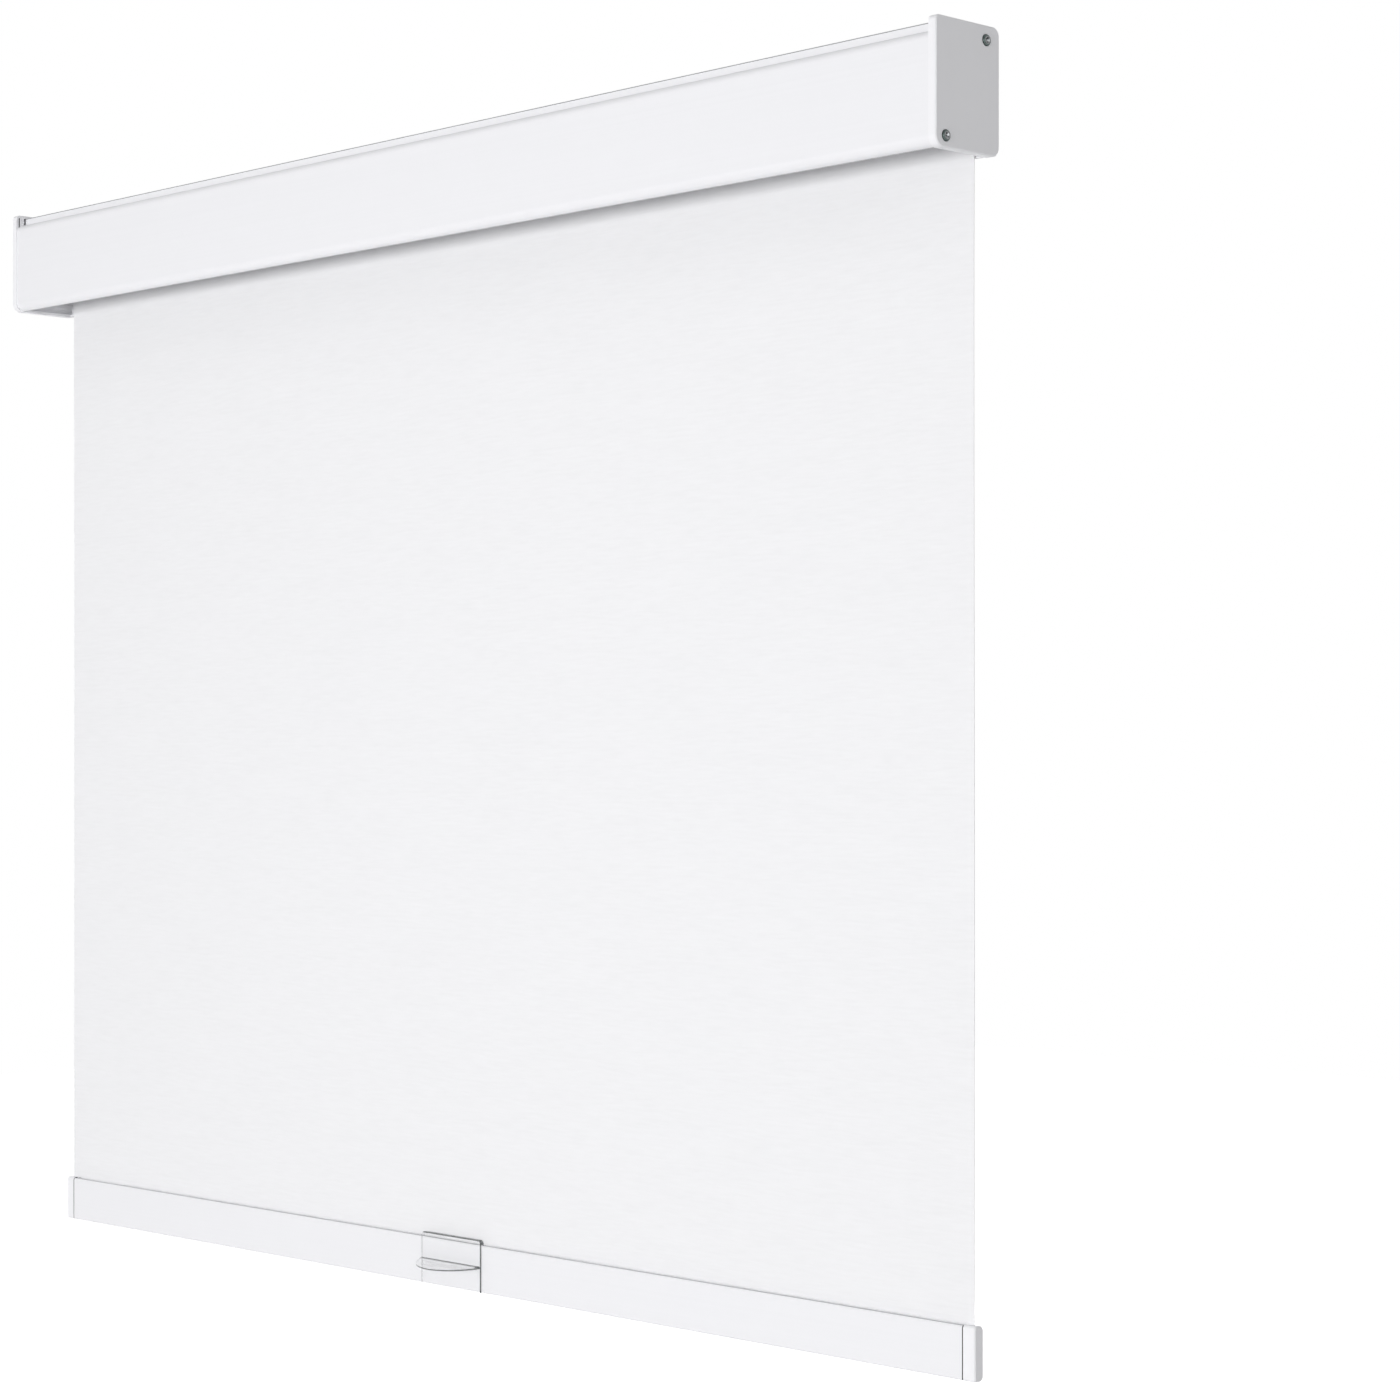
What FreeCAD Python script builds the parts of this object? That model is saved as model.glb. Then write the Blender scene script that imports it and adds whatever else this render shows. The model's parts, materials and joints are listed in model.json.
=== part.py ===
"""Blackout roller shade: a closed cassette with a spring roller, cloth, a weighted rail and a clear pull.

Millimetres. X runs along the shade, -Y is its front, Z is up. The origin is the middle of the four ceiling
screws, on the plane of the ceiling. The shade is drawn fully lowered.
"""

import FreeCAD, Part

import math
import os

V = FreeCAD.Vector

# Overall sizes
SHADE_WIDTH = 1022.0        # over the end caps
CASSETTE_HEIGHT = 80.0
CASSETTE_DEPTH = 59.5
DROP = 836.5                # from the top of the caps to the foot of the rail, lowered

# Mounting
BRACKET_SETBACK = 111.0     # from a cap's outer face to a bracket's screw line
SCREW_ROWS = 16.0           # between a bracket's two ceiling screws
WALL_ROWS = 12.0            # between a bracket's two wall screws
WALL_SCREW_DROP = 15.0      # from the ceiling to the middle of the wall screws
MOUNT_HOLE_R = 2.25
WALL_SETBACK = 60.0         # from the caps' front to the wall
SCREW_SETBACK = 46.0        # from the caps' front to the middle of the ceiling screws

# End caps
CAP_THICKNESS = 6.0
CAP_SKIN = 2.5
CAP_RIM = 2.2
CAP_CORNERS = (3.6, 5.5, 6.0, 7.0)   # front top, rear top, rear bottom, front bottom
CAP_EDGE = 0.8
CAP_CEILING_GAP = 0.5
NOSE_LOCATOR = 4.0          # width of the rib that fills the cap in front of the headrail's nose

# Extruded profiles
WALL = 1.5
TOP_RECESS = 4.4            # caps stand this far above the headrail
NOSE_LIP = 2.3              # height of the nose above the headrail's top
REAR_RECESS = 3.9           # and this far behind it
FRONT_RECESS = 0.8          # and this far in front of the fascia
FOOT_RECESS = 0.8           # and this far below the fascia
NOSE_SETBACK = 9.0          # from the caps' front to the headrail's nose
FASCIA_DROP = 3.8           # from the headrail's top to the fascia's
FASCIA_TOP_R = 6.0
FASCIA_FOOT_R = 6.5
FASCIA_RETURN = 7.2         # depth of the fascia's foot, from its face
HOOK_DROP = 3.5             # how far the fascia's hook hangs into the headrail's channel
HOOK_GAP = 0.3
PORT_BORE_R = 1.6
PORT_R = 3.2
PORT_SLIT = 1.2
TOP_SCREW = (46.9, 9.2)     # setback and drop of the upper cap screw
FOOT_SCREW = (9.4, 7.2)     # setback and rise of the lower one

# Cap screws
SCREW_HEAD_R = 3.5
SCREW_HEAD = 2.4
SCREW_SHANK_R = 1.55
SCREW_LENGTH = 20.0
SCREW_RECESS = 1.2          # how deep the head sits in the cap
SCREW_CROSS = (1.0, 4.4, 1.3)   # blade width, span and depth of the cross recess
SCREW_GAP = 0.3             # round a head and past a screw's end
HEAD_BEVEL = 0.4            # share of a head's height that its bevel takes

# Bracket channel along the headrail's top
CHANNEL_SETBACK = 33.9
CHANNEL_HALF = 10.1
CHANNEL_MOUTH_HALF = 6.5
CHANNEL_DEPTH = 6.0         # from the profile's top to the channel's outer floor

# Mount brackets and their swivel locks
STEEL = 1.5
BRACKET_INNER = 12.0        # from the screw line towards the middle of the shade
BRACKET_OUTER = 32.0        # from the screw line towards the end
BRACKET_LEG = 28.0
BRACKET_FOOT = 22.0         # length of the front foot, short of the lock's lever
CAM_OFFSET = 20.0           # from the screw line to the lock's pivot
CAM_EAR_R = 9.7
CAM_EAR_HALF = 4.0
CAM_EAR_THICKNESS = 1.7
CAM_HUB_R = 4.5
CAM_GAP = 0.1
CAM_LEVER = 18.5
CAM_LEVER_HALF = 4.0
CAM_LEVER_THICKNESS = 1.6
RIVET_R = 2.0
RIVET_HEAD_R = 3.2
RIVET_HEAD = 0.8
TURNING_GAP = 0.05          # radial play of every shaft in its hole

# Roller
TUBE_R = 19.0
TUBE_WALL = 1.2
ROLLER_DROP = 40.5          # from the top of the caps to the roller's axis
CLOTH = 0.4                 # thickness
WRAPS = 2                   # turns left on the tube when the shade is down
CLOTH_MARGIN = 13.5         # from the outer face of a cap to the cloth's edge
CLOTH_SETBACK = 51.4        # from the caps' front to the middle of the hanging cloth
CLOTH_GAP = 0.3             # between the hanging cloth and the turns on the tube
TUBE_PAST_CLOTH = 1.5
GROOVE_R = 1.8              # bore of the tube's spline groove
GROOVE_DEPTH = 2.6          # from the tube's surface to the bore's middle
GROOVE_SLOT = 1.2
GROOVE_WALL = 0.9
SPLINE_GAP = 0.05
PLUG_GAP = 0.05             # radial gap of the plugs in the tube
PLUG_FLANGE = 1.6

# Roller brackets
ROLLER_PLATE = 2.0
ROLLER_PLATE_SIZE = (30.0, 40.0)
ROLLER_PLATE_R = 3
ROLLER_SCREW_PITCH = 29.0
SMALL_SHANK_R = 1.2
SMALL_HEAD_R = 2.5
SMALL_HEAD = 1.2
SMALL_LENGTH = 5.5

# Spring end
TANG = (3.0, 9.0, 4.6)      # thickness, width, reach past its bracket's outer face is the last
TANG_GAP = 0.1
ARBOR_FLANGE_R = 10.0
ARBOR_FLANGE = 1.6
ARBOR_HUB_R = 8.0
ARBOR_HUB = 34.0
DRIVE_LENGTH = 32.0
ARBOR_ROD_R = 4.0
SPRING_LENGTH = 200.0
SPRING_WIRE = 1.5
SPRING_TURNS = 13
SPRING_SEAT_R = 7.4
SPRING_SEAT = 14.0
SPRING_SEAT_GAP = 0.2
PLUG_LENGTH = 22.0
CLIP_R = 5.6
CLIP_THICKNESS = 1.0
CLIP_GROOVE_R = 3.2
BRAKE_WIRE = 1.2
BRAKE_TURNS = 5
BRAKE_POCKET = 12.0
BRAKE_SETBACK = 12.0        # from the plug's flange to the brake's pocket
BRAKE_GAP = 0.15

# Idle end
PIN_R = 3.0
PIN_PAST_BRACKET = 3.0
PIN_COLLAR_R = 4.4
PIN_COLLAR = 2.0
IDLE_BORE_R = 4.8
IDLE_LENGTH = 32.0
IDLE_FRONT = 2.0
IDLE_CAP = 3.0
IDLE_WIRE = 0.8
IDLE_TURNS = 7

# Bottom rail
RAIL_HEIGHT = 34.7
RAIL_THICKNESS = 8.6
RAIL_INSET = 9.6            # from the outer face of an end cap to the rail's end
RAIL_CORNERS = (2.4, 3.4, 3.0, 1.6)     # front top, rear top, rear bottom, front bottom
RAIL_WALL = 1.3
RAIL_CAP = 10.0
RAIL_CAP_EDGE = 0.8
RAIL_SEAM = 0.4             # width of the shadow gap between the rail and its caps
RAIL_PLUG = 14.0
RAIL_PLUG_GAP = 0.1
RAIL_LIP = 1.2              # thickness of the lips at the rail's open top
RAIL_MOUTH = 2.8            # depth between the lips
RAIL_SLOT = 3.0
RAIL_SLOT_DEPTH = 8.2       # from the rail's top to the middle of the spline bore
RAIL_BORE_R = 3.05
RAIL_WEB = 1.6
RAIL_SPLINE_R = 2.3
CAP_SLOT_GAP = 0.4          # each side of the cloth in a rail cap's slot

# Pull handle
PULL_WIDTH = 66.4
PULL_WALL = 1.4
PULL_RISE = 3.4             # how far it stands above the rail
PULL_CORNER_R = 3.0
PULL_TOP_R = 1.6
PULL_HOOK = 1.0             # thickness of the hook behind the rail's lip
PULL_HOOK_R = 0.8
PULL_HOOK_DEPTH = 2.4
GRIP_DROP = 15.5            # from the rail's top to the grip's upper face
GRIP_REACH = 21.6
GRIP_THICKNESS = 2.4
GRIP_TILT = 5.0             # degrees that the grip slopes down to its tip
GRIP_EDGE = 0.7

# Planes worked out from the sizes above
FRONT = -SCREW_SETBACK
REAR = FRONT + CASSETTE_DEPTH
WALL_PLANE = FRONT + WALL_SETBACK
CAP_TOP = -CAP_CEILING_GAP
CAP_FOOT = CAP_TOP - CASSETTE_HEIGHT
END = SHADE_WIDTH / 2
SCREW_LINE = END - BRACKET_SETBACK
INNER = END - CAP_THICKNESS
TOP = CAP_TOP - TOP_RECESS
FACE = FRONT + FRONT_RECESS
BACK = REAR - REAR_RECESS
FOOT = CAP_FOOT + FOOT_RECESS
NOSE = FRONT + NOSE_SETBACK
FASCIA_TOP = TOP - FASCIA_DROP
CHANNEL_Y = FRONT + CHANNEL_SETBACK
CLOTH_Y = FRONT + CLOTH_SETBACK
CLOTH_HALF = END - CLOTH_MARGIN
TUBE_HALF = CLOTH_HALF + TUBE_PAST_CLOTH
TUBE_BORE_R = TUBE_R - TUBE_WALL
WRAP_R = TUBE_R + WRAPS * CLOTH
ROLLER_Y = CLOTH_Y - CLOTH / 2 - CLOTH_GAP - WRAP_R
ROLLER_Z = CAP_TOP - ROLLER_DROP
PLATE_FACE = INNER - ROLLER_PLATE
FLANGE_END = TUBE_HALF + PLUG_FLANGE
RAIL_FOOT = CAP_TOP - DROP
RAIL_TOP = RAIL_FOOT + RAIL_HEIGHT
RAIL_FRONT = CLOTH_Y - RAIL_THICKNESS / 2
RAIL_BACK = CLOTH_Y + RAIL_THICKNESS / 2
RAIL_END = END - RAIL_INSET
RAIL_BODY_END = RAIL_END - RAIL_CAP
TOP_PORT = (FRONT + TOP_SCREW[0], CAP_TOP - TOP_SCREW[1])
FOOT_PORT = (FRONT + FOOT_SCREW[0], CAP_FOOT + FOOT_SCREW[1])
OVERCUT = 1.0

# Flats round what is drawn as a prism: coils, hidden round pieces, and small ones
COIL_STEPS = 10
ROUND_SIDES = 24
SMALL_SIDES = 12


def outline(corners, x):
    """A closed outline across X through (y, z, corner radius) points, with round corners as arcs."""
    count = len(corners)
    points = [V(x, y, z) for y, z, _ in corners]
    arcs = []
    for i, (point, corner) in enumerate(zip(points, corners)):
        radius = corner[2]
        if radius == 0:
            arcs.append((point, None, point))
            continue
        back = (points[i - 1] - point).normalize()
        ahead = (points[(i + 1) % count] - point).normalize()
        half = back.getAngle(ahead) / 2
        reach = radius / math.tan(half)
        middle = point + (back + ahead).normalize() * (radius / math.sin(half) - radius)
        arcs.append((point + back * reach, middle, point + ahead * reach))
    edges = []
    for i, (start, middle, end) in enumerate(arcs):
        if middle is not None:
            edges.append(Part.Arc(start, middle, end).toShape())
        after = arcs[(i + 1) % count][0]
        if end.distanceToPoint(after) > 1e-6:
            edges.append(Part.LineSegment(end, after).toShape())
    return Part.Wire(edges)


def extrusion(corners, x0, x1):
    """A solid along X with the section that the corners give."""
    return Part.Face(outline(corners, x0)).extrude(V(x1 - x0, 0, 0))


def box(x0, x1, y0, y1, z0, z1):
    """A box between two corners."""
    return Part.makeBox(x1 - x0, y1 - y0, z1 - z0, V(x0, y0, z0))


def rod(x0, x1, y, z, radius):
    """A cylinder along X."""
    return Part.makeCylinder(radius, x1 - x0, V(x0, y, z), V(1, 0, 0))


def post(x, y, z0, z1, radius):
    """A cylinder along Z."""
    return Part.makeCylinder(radius, z1 - z0, V(x, y, z0), V(0, 0, 1))


def ring(centre, u, v, radius, sides):
    """A regular polygon's face with its corners on the radius, in the plane of the vectors u and v."""
    turns = [2 * math.pi * i / sides for i in range(sides + 1)]
    corners = [centre + u * (radius * math.cos(a)) + v * (radius * math.sin(a)) for a in turns]
    return Part.Face(Part.makePolygon(corners))


def bar(x0, x1, y, z, radius, sides=ROUND_SIDES):
    """A prism along X with its corners on the radius, for a round piece out of sight."""
    return ring(V(x0, y, z), V(0, 1, 0), V(0, 0, 1), radius, sides).extrude(V(x1 - x0, 0, 0))


def bore(x0, x1, y, z, radius, sides=ROUND_SIDES):
    """A prism along X with its flats on the radius, which clears anything round of that radius."""
    return bar(x0, x1, y, z, radius / math.cos(math.pi / sides), sides)


def stud(x, y, z0, z1, radius, sides=ROUND_SIDES):
    """A prism along Z with its corners on the radius."""
    return ring(V(x, y, z0), V(1, 0, 0), V(0, 1, 0), radius, sides).extrude(V(0, 0, z1 - z0))


def rounded(y0, y1, z0, z1, radii):
    """Corners of a rectangle with radii for front top, rear top, rear bottom and front bottom."""
    front_top, rear_top, rear_foot, front_foot = radii
    return [(y0, z1, front_top), (y1, z1, rear_top), (y1, z0, rear_foot), (y0, z0, front_foot)]


def joined(*shapes):
    """One solid from touching shapes, with seams in flat faces removed."""
    return shapes[0].fuse(list(shapes[1:])).removeSplitter()


def group(shapes):
    """Separate solids kept together."""
    return Part.makeCompound(list(shapes))


def mirrored(shape):
    """The shape's mirror image at the other end of the shade."""
    return shape.mirror(V(0, 0, 0), V(1, 0, 0))


def edges_at_x(shape, x):
    """The edges that lie wholly on the plane at x."""
    found = []
    for edge in shape.Edges:
        bounds = edge.BoundBox
        if abs(bounds.XMin - x) < 1e-4 and abs(bounds.XMax - x) < 1e-4:
            found.append(edge)
    return found


def facet(*points):
    """A flat face through the points."""
    return Part.Face(Part.makePolygon([*points, points[0]]))


def coil(x0, x1, y, z, radius, wire, turns):
    """A square-wire coil along X in straight steps, flats on the radius, ends flush with x0 and x1."""
    h = wire / 2
    out = 1 / math.cos(math.pi / COIL_STEPS)
    steps = COIL_STEPS * turns
    sections = []
    for i in range(steps + 1):
        angle = 2 * math.pi * i / COIL_STEPS
        x = x0 + h + (x1 - x0 - wire) * i / steps
        sections.append([
            V(x + dx, y + (radius + dr) * out * math.cos(angle), z + (radius + dr) * out * math.sin(angle))
            for dx, dr in ((-h, -h), (h, -h), (h, h), (-h, h))
        ])
    faces = [facet(*sections[0]), facet(*sections[-1])]
    for near, far in zip(sections, sections[1:]):
        for i in range(4):
            faces.append(facet(near[i], near[i - 1], far[i - 1]))
            faces.append(facet(near[i], far[i - 1], far[i]))
    shell = Part.makeShell(faces)
    shell.sewShape()
    return Part.makeSolid(shell)


def port(centre, mouth_angle):
    """A screw port's wall and bore along the profiles, with a slit that faces the given angle."""
    y, z = centre
    wall = bar(-INNER, INNER, y, z, PORT_R)
    hole = bore(-INNER - OVERCUT, INNER + OVERCUT, y, z, PORT_BORE_R, SMALL_SIDES)
    slit = box(-INNER - OVERCUT, INNER + OVERCUT, y, y + 2 * PORT_R, z - PORT_SLIT / 2, z + PORT_SLIT / 2)
    slit.rotate(V(0, y, z), V(1, 0, 0), mouth_angle)
    return wall, hole.fuse(slit)


def headrail():
    """The cassette's top and back: nose, bracket channel, rear wall and the upper screw port."""
    def web(y0, y1, z0, z1):
        return box(-INNER, INNER, y0, y1, z0, z1)

    channel_front = CHANNEL_Y - CHANNEL_HALF
    channel_rear = CHANNEL_Y + CHANNEL_HALF
    floor = TOP - CHANNEL_DEPTH
    hook_foot = FASCIA_TOP - HOOK_DROP
    ledge_top = hook_foot - HOOK_GAP
    lip_back = NOSE - HOOK_GAP - WALL - 2 * HOOK_GAP
    wall, hollow = port(TOP_PORT, -90)
    body = joined(
        web(NOSE, NOSE + WALL, ledge_top - WALL, TOP + NOSE_LIP),
        web(lip_back - WALL, NOSE, ledge_top - WALL, ledge_top),
        web(lip_back - WALL, lip_back, ledge_top - WALL, FASCIA_TOP - WALL - 2 * HOOK_GAP),
        web(NOSE, CHANNEL_Y - CHANNEL_MOUTH_HALF, TOP - WALL, TOP),
        web(channel_front - WALL, channel_front, floor, TOP),
        web(channel_front - WALL, channel_rear + WALL, floor, floor + WALL),
        web(channel_rear, channel_rear + WALL, floor, TOP),
        web(CHANNEL_Y + CHANNEL_MOUTH_HALF, BACK, TOP - WALL, TOP),
        web(BACK - WALL, BACK, FOOT, TOP),
        web(BACK - 2 * WALL, BACK, FOOT, FOOT + WALL),
        wall,
    )
    return body.cut(hollow)


def front_fascia():
    """The front cover: a rounded channel that hooks on the headrail and is screwed at its foot."""
    hook_back = NOSE - HOOK_GAP
    hook_front = hook_back - WALL
    hook_foot = FASCIA_TOP - HOOK_DROP
    inside = FACE + WALL
    end = FACE + FASCIA_RETURN
    section = [
        (hook_back, hook_foot, 0),
        (hook_back, FASCIA_TOP, 0),
        (FACE, FASCIA_TOP, FASCIA_TOP_R),
        (FACE, FOOT, FASCIA_FOOT_R),
        (end, FOOT, 0),
        (end, FOOT + WALL, 0),
        (inside, FOOT + WALL, FASCIA_FOOT_R - WALL),
        (inside, FASCIA_TOP - WALL, FASCIA_TOP_R - WALL),
        (hook_front, FASCIA_TOP - WALL, 0),
        (hook_front, hook_foot, 0),
    ]
    port_y, port_z = FOOT_PORT
    arm = box(-INNER, INNER, inside - WALL / 2, port_y, port_z - WALL / 2, port_z + WALL / 2)
    wall, hollow = port(FOOT_PORT, 90)
    return joined(extrusion(section, -INNER, INNER), arm, wall).cut(hollow)


def cap_outline(inset, radii):
    """The end cap's outline, drawn in by an inset."""
    return rounded(FRONT + inset, REAR - inset, CAP_FOOT + inset, CAP_TOP - inset, radii)


def end_cap(socket):
    """The right-hand end cap: a moulded tray with bosses for its screws and for the roller's bracket."""
    body = extrusion(cap_outline(0, CAP_CORNERS), INNER, END)
    body = body.makeChamfer(CAP_EDGE, edges_at_x(body, END))
    skin = END - CAP_SKIN
    tray = extrusion(cap_outline(CAP_RIM, (0, 0, 0, 0)), INNER - OVERCUT, skin)
    half_y = ROLLER_PLATE_SIZE[0] / 2
    half_z = ROLLER_PLATE_SIZE[1] / 2
    boss = PORT_R + WALL
    kept = [box(INNER, skin, y - boss, y + boss, z - boss, z + boss) for y, z in (TOP_PORT, FOOT_PORT)]
    kept.append(box(INNER, skin, ROLLER_Y - half_y, ROLLER_Y + half_y, ROLLER_Z - half_z, ROLLER_Z + half_z))
    nose_front = NOSE - HOOK_GAP - WALL - NOSE_LOCATOR
    nose_back = nose_front + NOSE_LOCATOR
    kept.append(box(INNER, skin, nose_front, nose_back, FASCIA_TOP - 2 * WALL, CAP_TOP - CAP_RIM))
    for rise in (-half_z / 2, half_z / 2):
        z = ROLLER_Z + rise
        kept.append(box(INNER + WALL, skin, FRONT + CAP_RIM, REAR - CAP_RIM, z - WALL / 2, z + WALL / 2))
    body = body.cut(tray.cut(kept))
    for y, z in (TOP_PORT, FOOT_PORT):
        body = body.cut(bore(INNER - OVERCUT, END + OVERCUT, y, z, SCREW_SHANK_R + TURNING_GAP, SMALL_SIDES))
        body = body.cut(bore(END - SCREW_RECESS, END + OVERCUT, y, z, SCREW_HEAD_R + SCREW_GAP))
    for z in small_screw_heights():
        body = body.cut(bore(INNER - OVERCUT, PLATE_FACE + SMALL_LENGTH + SCREW_GAP, ROLLER_Y, z,
                             SMALL_SHANK_R + TURNING_GAP, SMALL_SIDES))
    return body.cut(socket).removeSplitter()


def small_screw_heights():
    """Heights of the two screws of a roller bracket."""
    return ROLLER_Z - ROLLER_SCREW_PITCH / 2, ROLLER_Z + ROLLER_SCREW_PITCH / 2


def pin_socket():
    """Room in the right cap for the idle pin's tip."""
    return bore(INNER - OVERCUT, INNER + PIN_PAST_BRACKET, ROLLER_Y, ROLLER_Z, PIN_R + SCREW_GAP)


def tang_room(grow, x0, x1):
    """A block round the arbor's flat tang, grown by a gap on each side."""
    half_y = TANG[0] / 2 + grow
    half_z = TANG[1] / 2 + grow
    return box(x0, x1, ROLLER_Y - half_y, ROLLER_Y + half_y, ROLLER_Z - half_z, ROLLER_Z + half_z)


def cap_screw(y, z):
    """A pan-head screw with a cross recess in the right-hand cap."""
    under = END - SCREW_RECESS
    top = under + SCREW_HEAD
    head = bar(under, top, y, z, SCREW_HEAD_R)
    head = head.makeChamfer(SCREW_HEAD * HEAD_BEVEL, edges_at_x(head, top))
    blade, span, depth = SCREW_CROSS
    for tall in (True, False):
        half_y = blade / 2 if tall else span / 2
        half_z = span / 2 if tall else blade / 2
        head = head.cut(box(top - depth, top + OVERCUT, y - half_y, y + half_y, z - half_z, z + half_z))
    return joined(head, bar(under - SCREW_LENGTH, under, y, z, SCREW_SHANK_R, SMALL_SIDES))


def end_cap_screws():
    """Four cap screws, two at each end."""
    right = [cap_screw(*TOP_PORT), cap_screw(*FOOT_PORT)]
    return group(right + [mirrored(screw) for screw in right])


def roller_plate(hole):
    """The right-hand steel plate that carries one end of the roller."""
    half_y = ROLLER_PLATE_SIZE[0] / 2
    half_z = ROLLER_PLATE_SIZE[1] / 2
    left, right = ROLLER_Y - half_y, ROLLER_Y + half_y
    low, high = ROLLER_Z - half_z, ROLLER_Z + half_z
    corners = rounded(left, right, low, high, (ROLLER_PLATE_R,) * 4)
    plate = extrusion(corners, PLATE_FACE, INNER)
    hole_r = SMALL_SHANK_R + TURNING_GAP
    for z in small_screw_heights():
        plate = plate.cut(bore(PLATE_FACE - OVERCUT, INNER + OVERCUT, ROLLER_Y, z, hole_r, SMALL_SIDES))
    return plate.cut(hole)


def roller_bracket_screws():
    """Two small screws at each end that hold the roller's plates."""
    right = []
    for z in small_screw_heights():
        head = bar(PLATE_FACE - SMALL_HEAD, PLATE_FACE, ROLLER_Y, z, SMALL_HEAD_R, SMALL_SIDES)
        head = head.makeChamfer(SMALL_HEAD * HEAD_BEVEL, edges_at_x(head, PLATE_FACE - SMALL_HEAD))
        shank = bar(PLATE_FACE, PLATE_FACE + SMALL_LENGTH, ROLLER_Y, z, SMALL_SHANK_R, SMALL_SIDES)
        right.append(joined(head, shank))
    return group(right + [mirrored(screw) for screw in right])


def mount_bracket():
    """The right-hand bent-steel bracket: top plate, wall leg and two feet that rest on the headrail."""
    line = SCREW_LINE
    x0 = line - BRACKET_INNER
    x1 = line + BRACKET_OUTER
    plate_front = CHANNEL_Y - CHANNEL_HALF + 2 * HOOK_GAP + WALL
    foot_rear = CHANNEL_Y + CHANNEL_HALF + 2 * STEEL
    angle = [
        (plate_front, 0, 0), (WALL_PLANE, 0, STEEL), (WALL_PLANE, -BRACKET_LEG, 0),
        (WALL_PLANE - STEEL, -BRACKET_LEG, 0), (WALL_PLANE - STEEL, -STEEL, 0), (plate_front, -STEEL, 0),
    ]
    body = joined(
        extrusion(angle, x0, x1),
        box(x0, x0 + BRACKET_FOOT, plate_front, plate_front + STEEL, TOP, -STEEL),
        box(x0 + STEEL, line - MOUNT_HOLE_R * 2, foot_rear, foot_rear + STEEL, TOP, -STEEL),
    )
    for row in (-SCREW_ROWS / 2, SCREW_ROWS / 2):
        body = body.cut(post(line, row, -STEEL - OVERCUT, OVERCUT, MOUNT_HOLE_R))
    for row in (-WALL_ROWS / 2, WALL_ROWS / 2):
        z = -WALL_SCREW_DROP + row
        start = V(line, WALL_PLANE - STEEL - OVERCUT, z)
        body = body.cut(Part.makeCylinder(MOUNT_HOLE_R, STEEL + 2 * OVERCUT, start, V(0, 1, 0)))
    return body.cut(stud(line + CAM_OFFSET, CHANNEL_Y, -STEEL - OVERCUT, OVERCUT, RIVET_R, SMALL_SIDES))


def cam_rivet():
    """The right-hand rivet: peened flush in the bracket above, with a round head under the lock."""
    pivot = SCREW_LINE + CAM_OFFSET
    foot = cam_ear_foot() - CAM_GAP
    return joined(
        stud(pivot, CHANNEL_Y, foot, 0, RIVET_R, SMALL_SIDES),
        stud(pivot, CHANNEL_Y, foot - RIVET_HEAD, foot, RIVET_HEAD_R),
    )


def cam_ear_foot():
    """Height of the underside of a lock's ears."""
    return TOP - WALL - CAM_GAP - CAM_EAR_THICKNESS


def bracket_cam():
    """The right-hand swivel lock: ears under the headrail's lips, a hub and a lever along the headrail."""
    pivot = SCREW_LINE + CAM_OFFSET
    ear_foot = cam_ear_foot()
    ear_top = ear_foot + CAM_EAR_THICKNESS
    ears = stud(pivot, CHANNEL_Y, ear_foot, ear_top, CAM_EAR_R).common(
        box(pivot - CAM_EAR_HALF, pivot + CAM_EAR_HALF, CHANNEL_Y - CAM_EAR_R, CHANNEL_Y + CAM_EAR_R,
            ear_foot, ear_top))
    lever_top = -STEEL - 2 * CAM_GAP
    lever_foot = lever_top - CAM_LEVER_THICKNESS
    lever = joined(
        box(pivot, pivot + CAM_LEVER, CHANNEL_Y - CAM_LEVER_HALF, CHANNEL_Y + CAM_LEVER_HALF,
            lever_foot, lever_top),
        stud(pivot + CAM_LEVER, CHANNEL_Y, lever_foot, lever_top, CAM_LEVER_HALF),
    )
    hub = stud(pivot, CHANNEL_Y, ear_foot, lever_top, CAM_HUB_R)
    hole_r = (RIVET_R + TURNING_GAP) / math.cos(math.pi / SMALL_SIDES)
    hole = stud(pivot, CHANNEL_Y, ear_foot - OVERCUT, 0, hole_r, SMALL_SIDES)
    return joined(ears, hub, lever).cut(hole)


def groove_block(x0, x1, grow):
    """The channel that the tube's spline groove makes inside it, grown by a gap."""
    half = GROOVE_R + GROOVE_WALL + grow
    low = ROLLER_Z + TUBE_R - GROOVE_DEPTH - GROOVE_R - GROOVE_WALL - grow
    return box(x0, x1, ROLLER_Y - half, ROLLER_Y + half, low, ROLLER_Z + TUBE_R - TUBE_WALL / 2)


def groove_centre():
    """Height of the middle of the tube's spline groove."""
    return ROLLER_Z + TUBE_R - GROOVE_DEPTH


def roller_tube():
    """An aluminium tube with a keyhole groove for the cloth's spline, which also keys the plugs."""
    ring = rod(-TUBE_HALF, TUBE_HALF, ROLLER_Y, ROLLER_Z, TUBE_R)
    ring = ring.cut(rod(-TUBE_HALF - OVERCUT, TUBE_HALF + OVERCUT, ROLLER_Y, ROLLER_Z, TUBE_BORE_R))
    body = joined(ring, groove_block(-TUBE_HALF, TUBE_HALF, 0))
    z = groove_centre()
    body = body.cut(rod(-TUBE_HALF - OVERCUT, TUBE_HALF + OVERCUT, ROLLER_Y, z, GROOVE_R))
    half = GROOVE_SLOT / 2
    return body.cut(box(-TUBE_HALF - OVERCUT, TUBE_HALF + OVERCUT, ROLLER_Y - half, ROLLER_Y + half,
                        z, z + GROOVE_DEPTH + OVERCUT))


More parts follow.
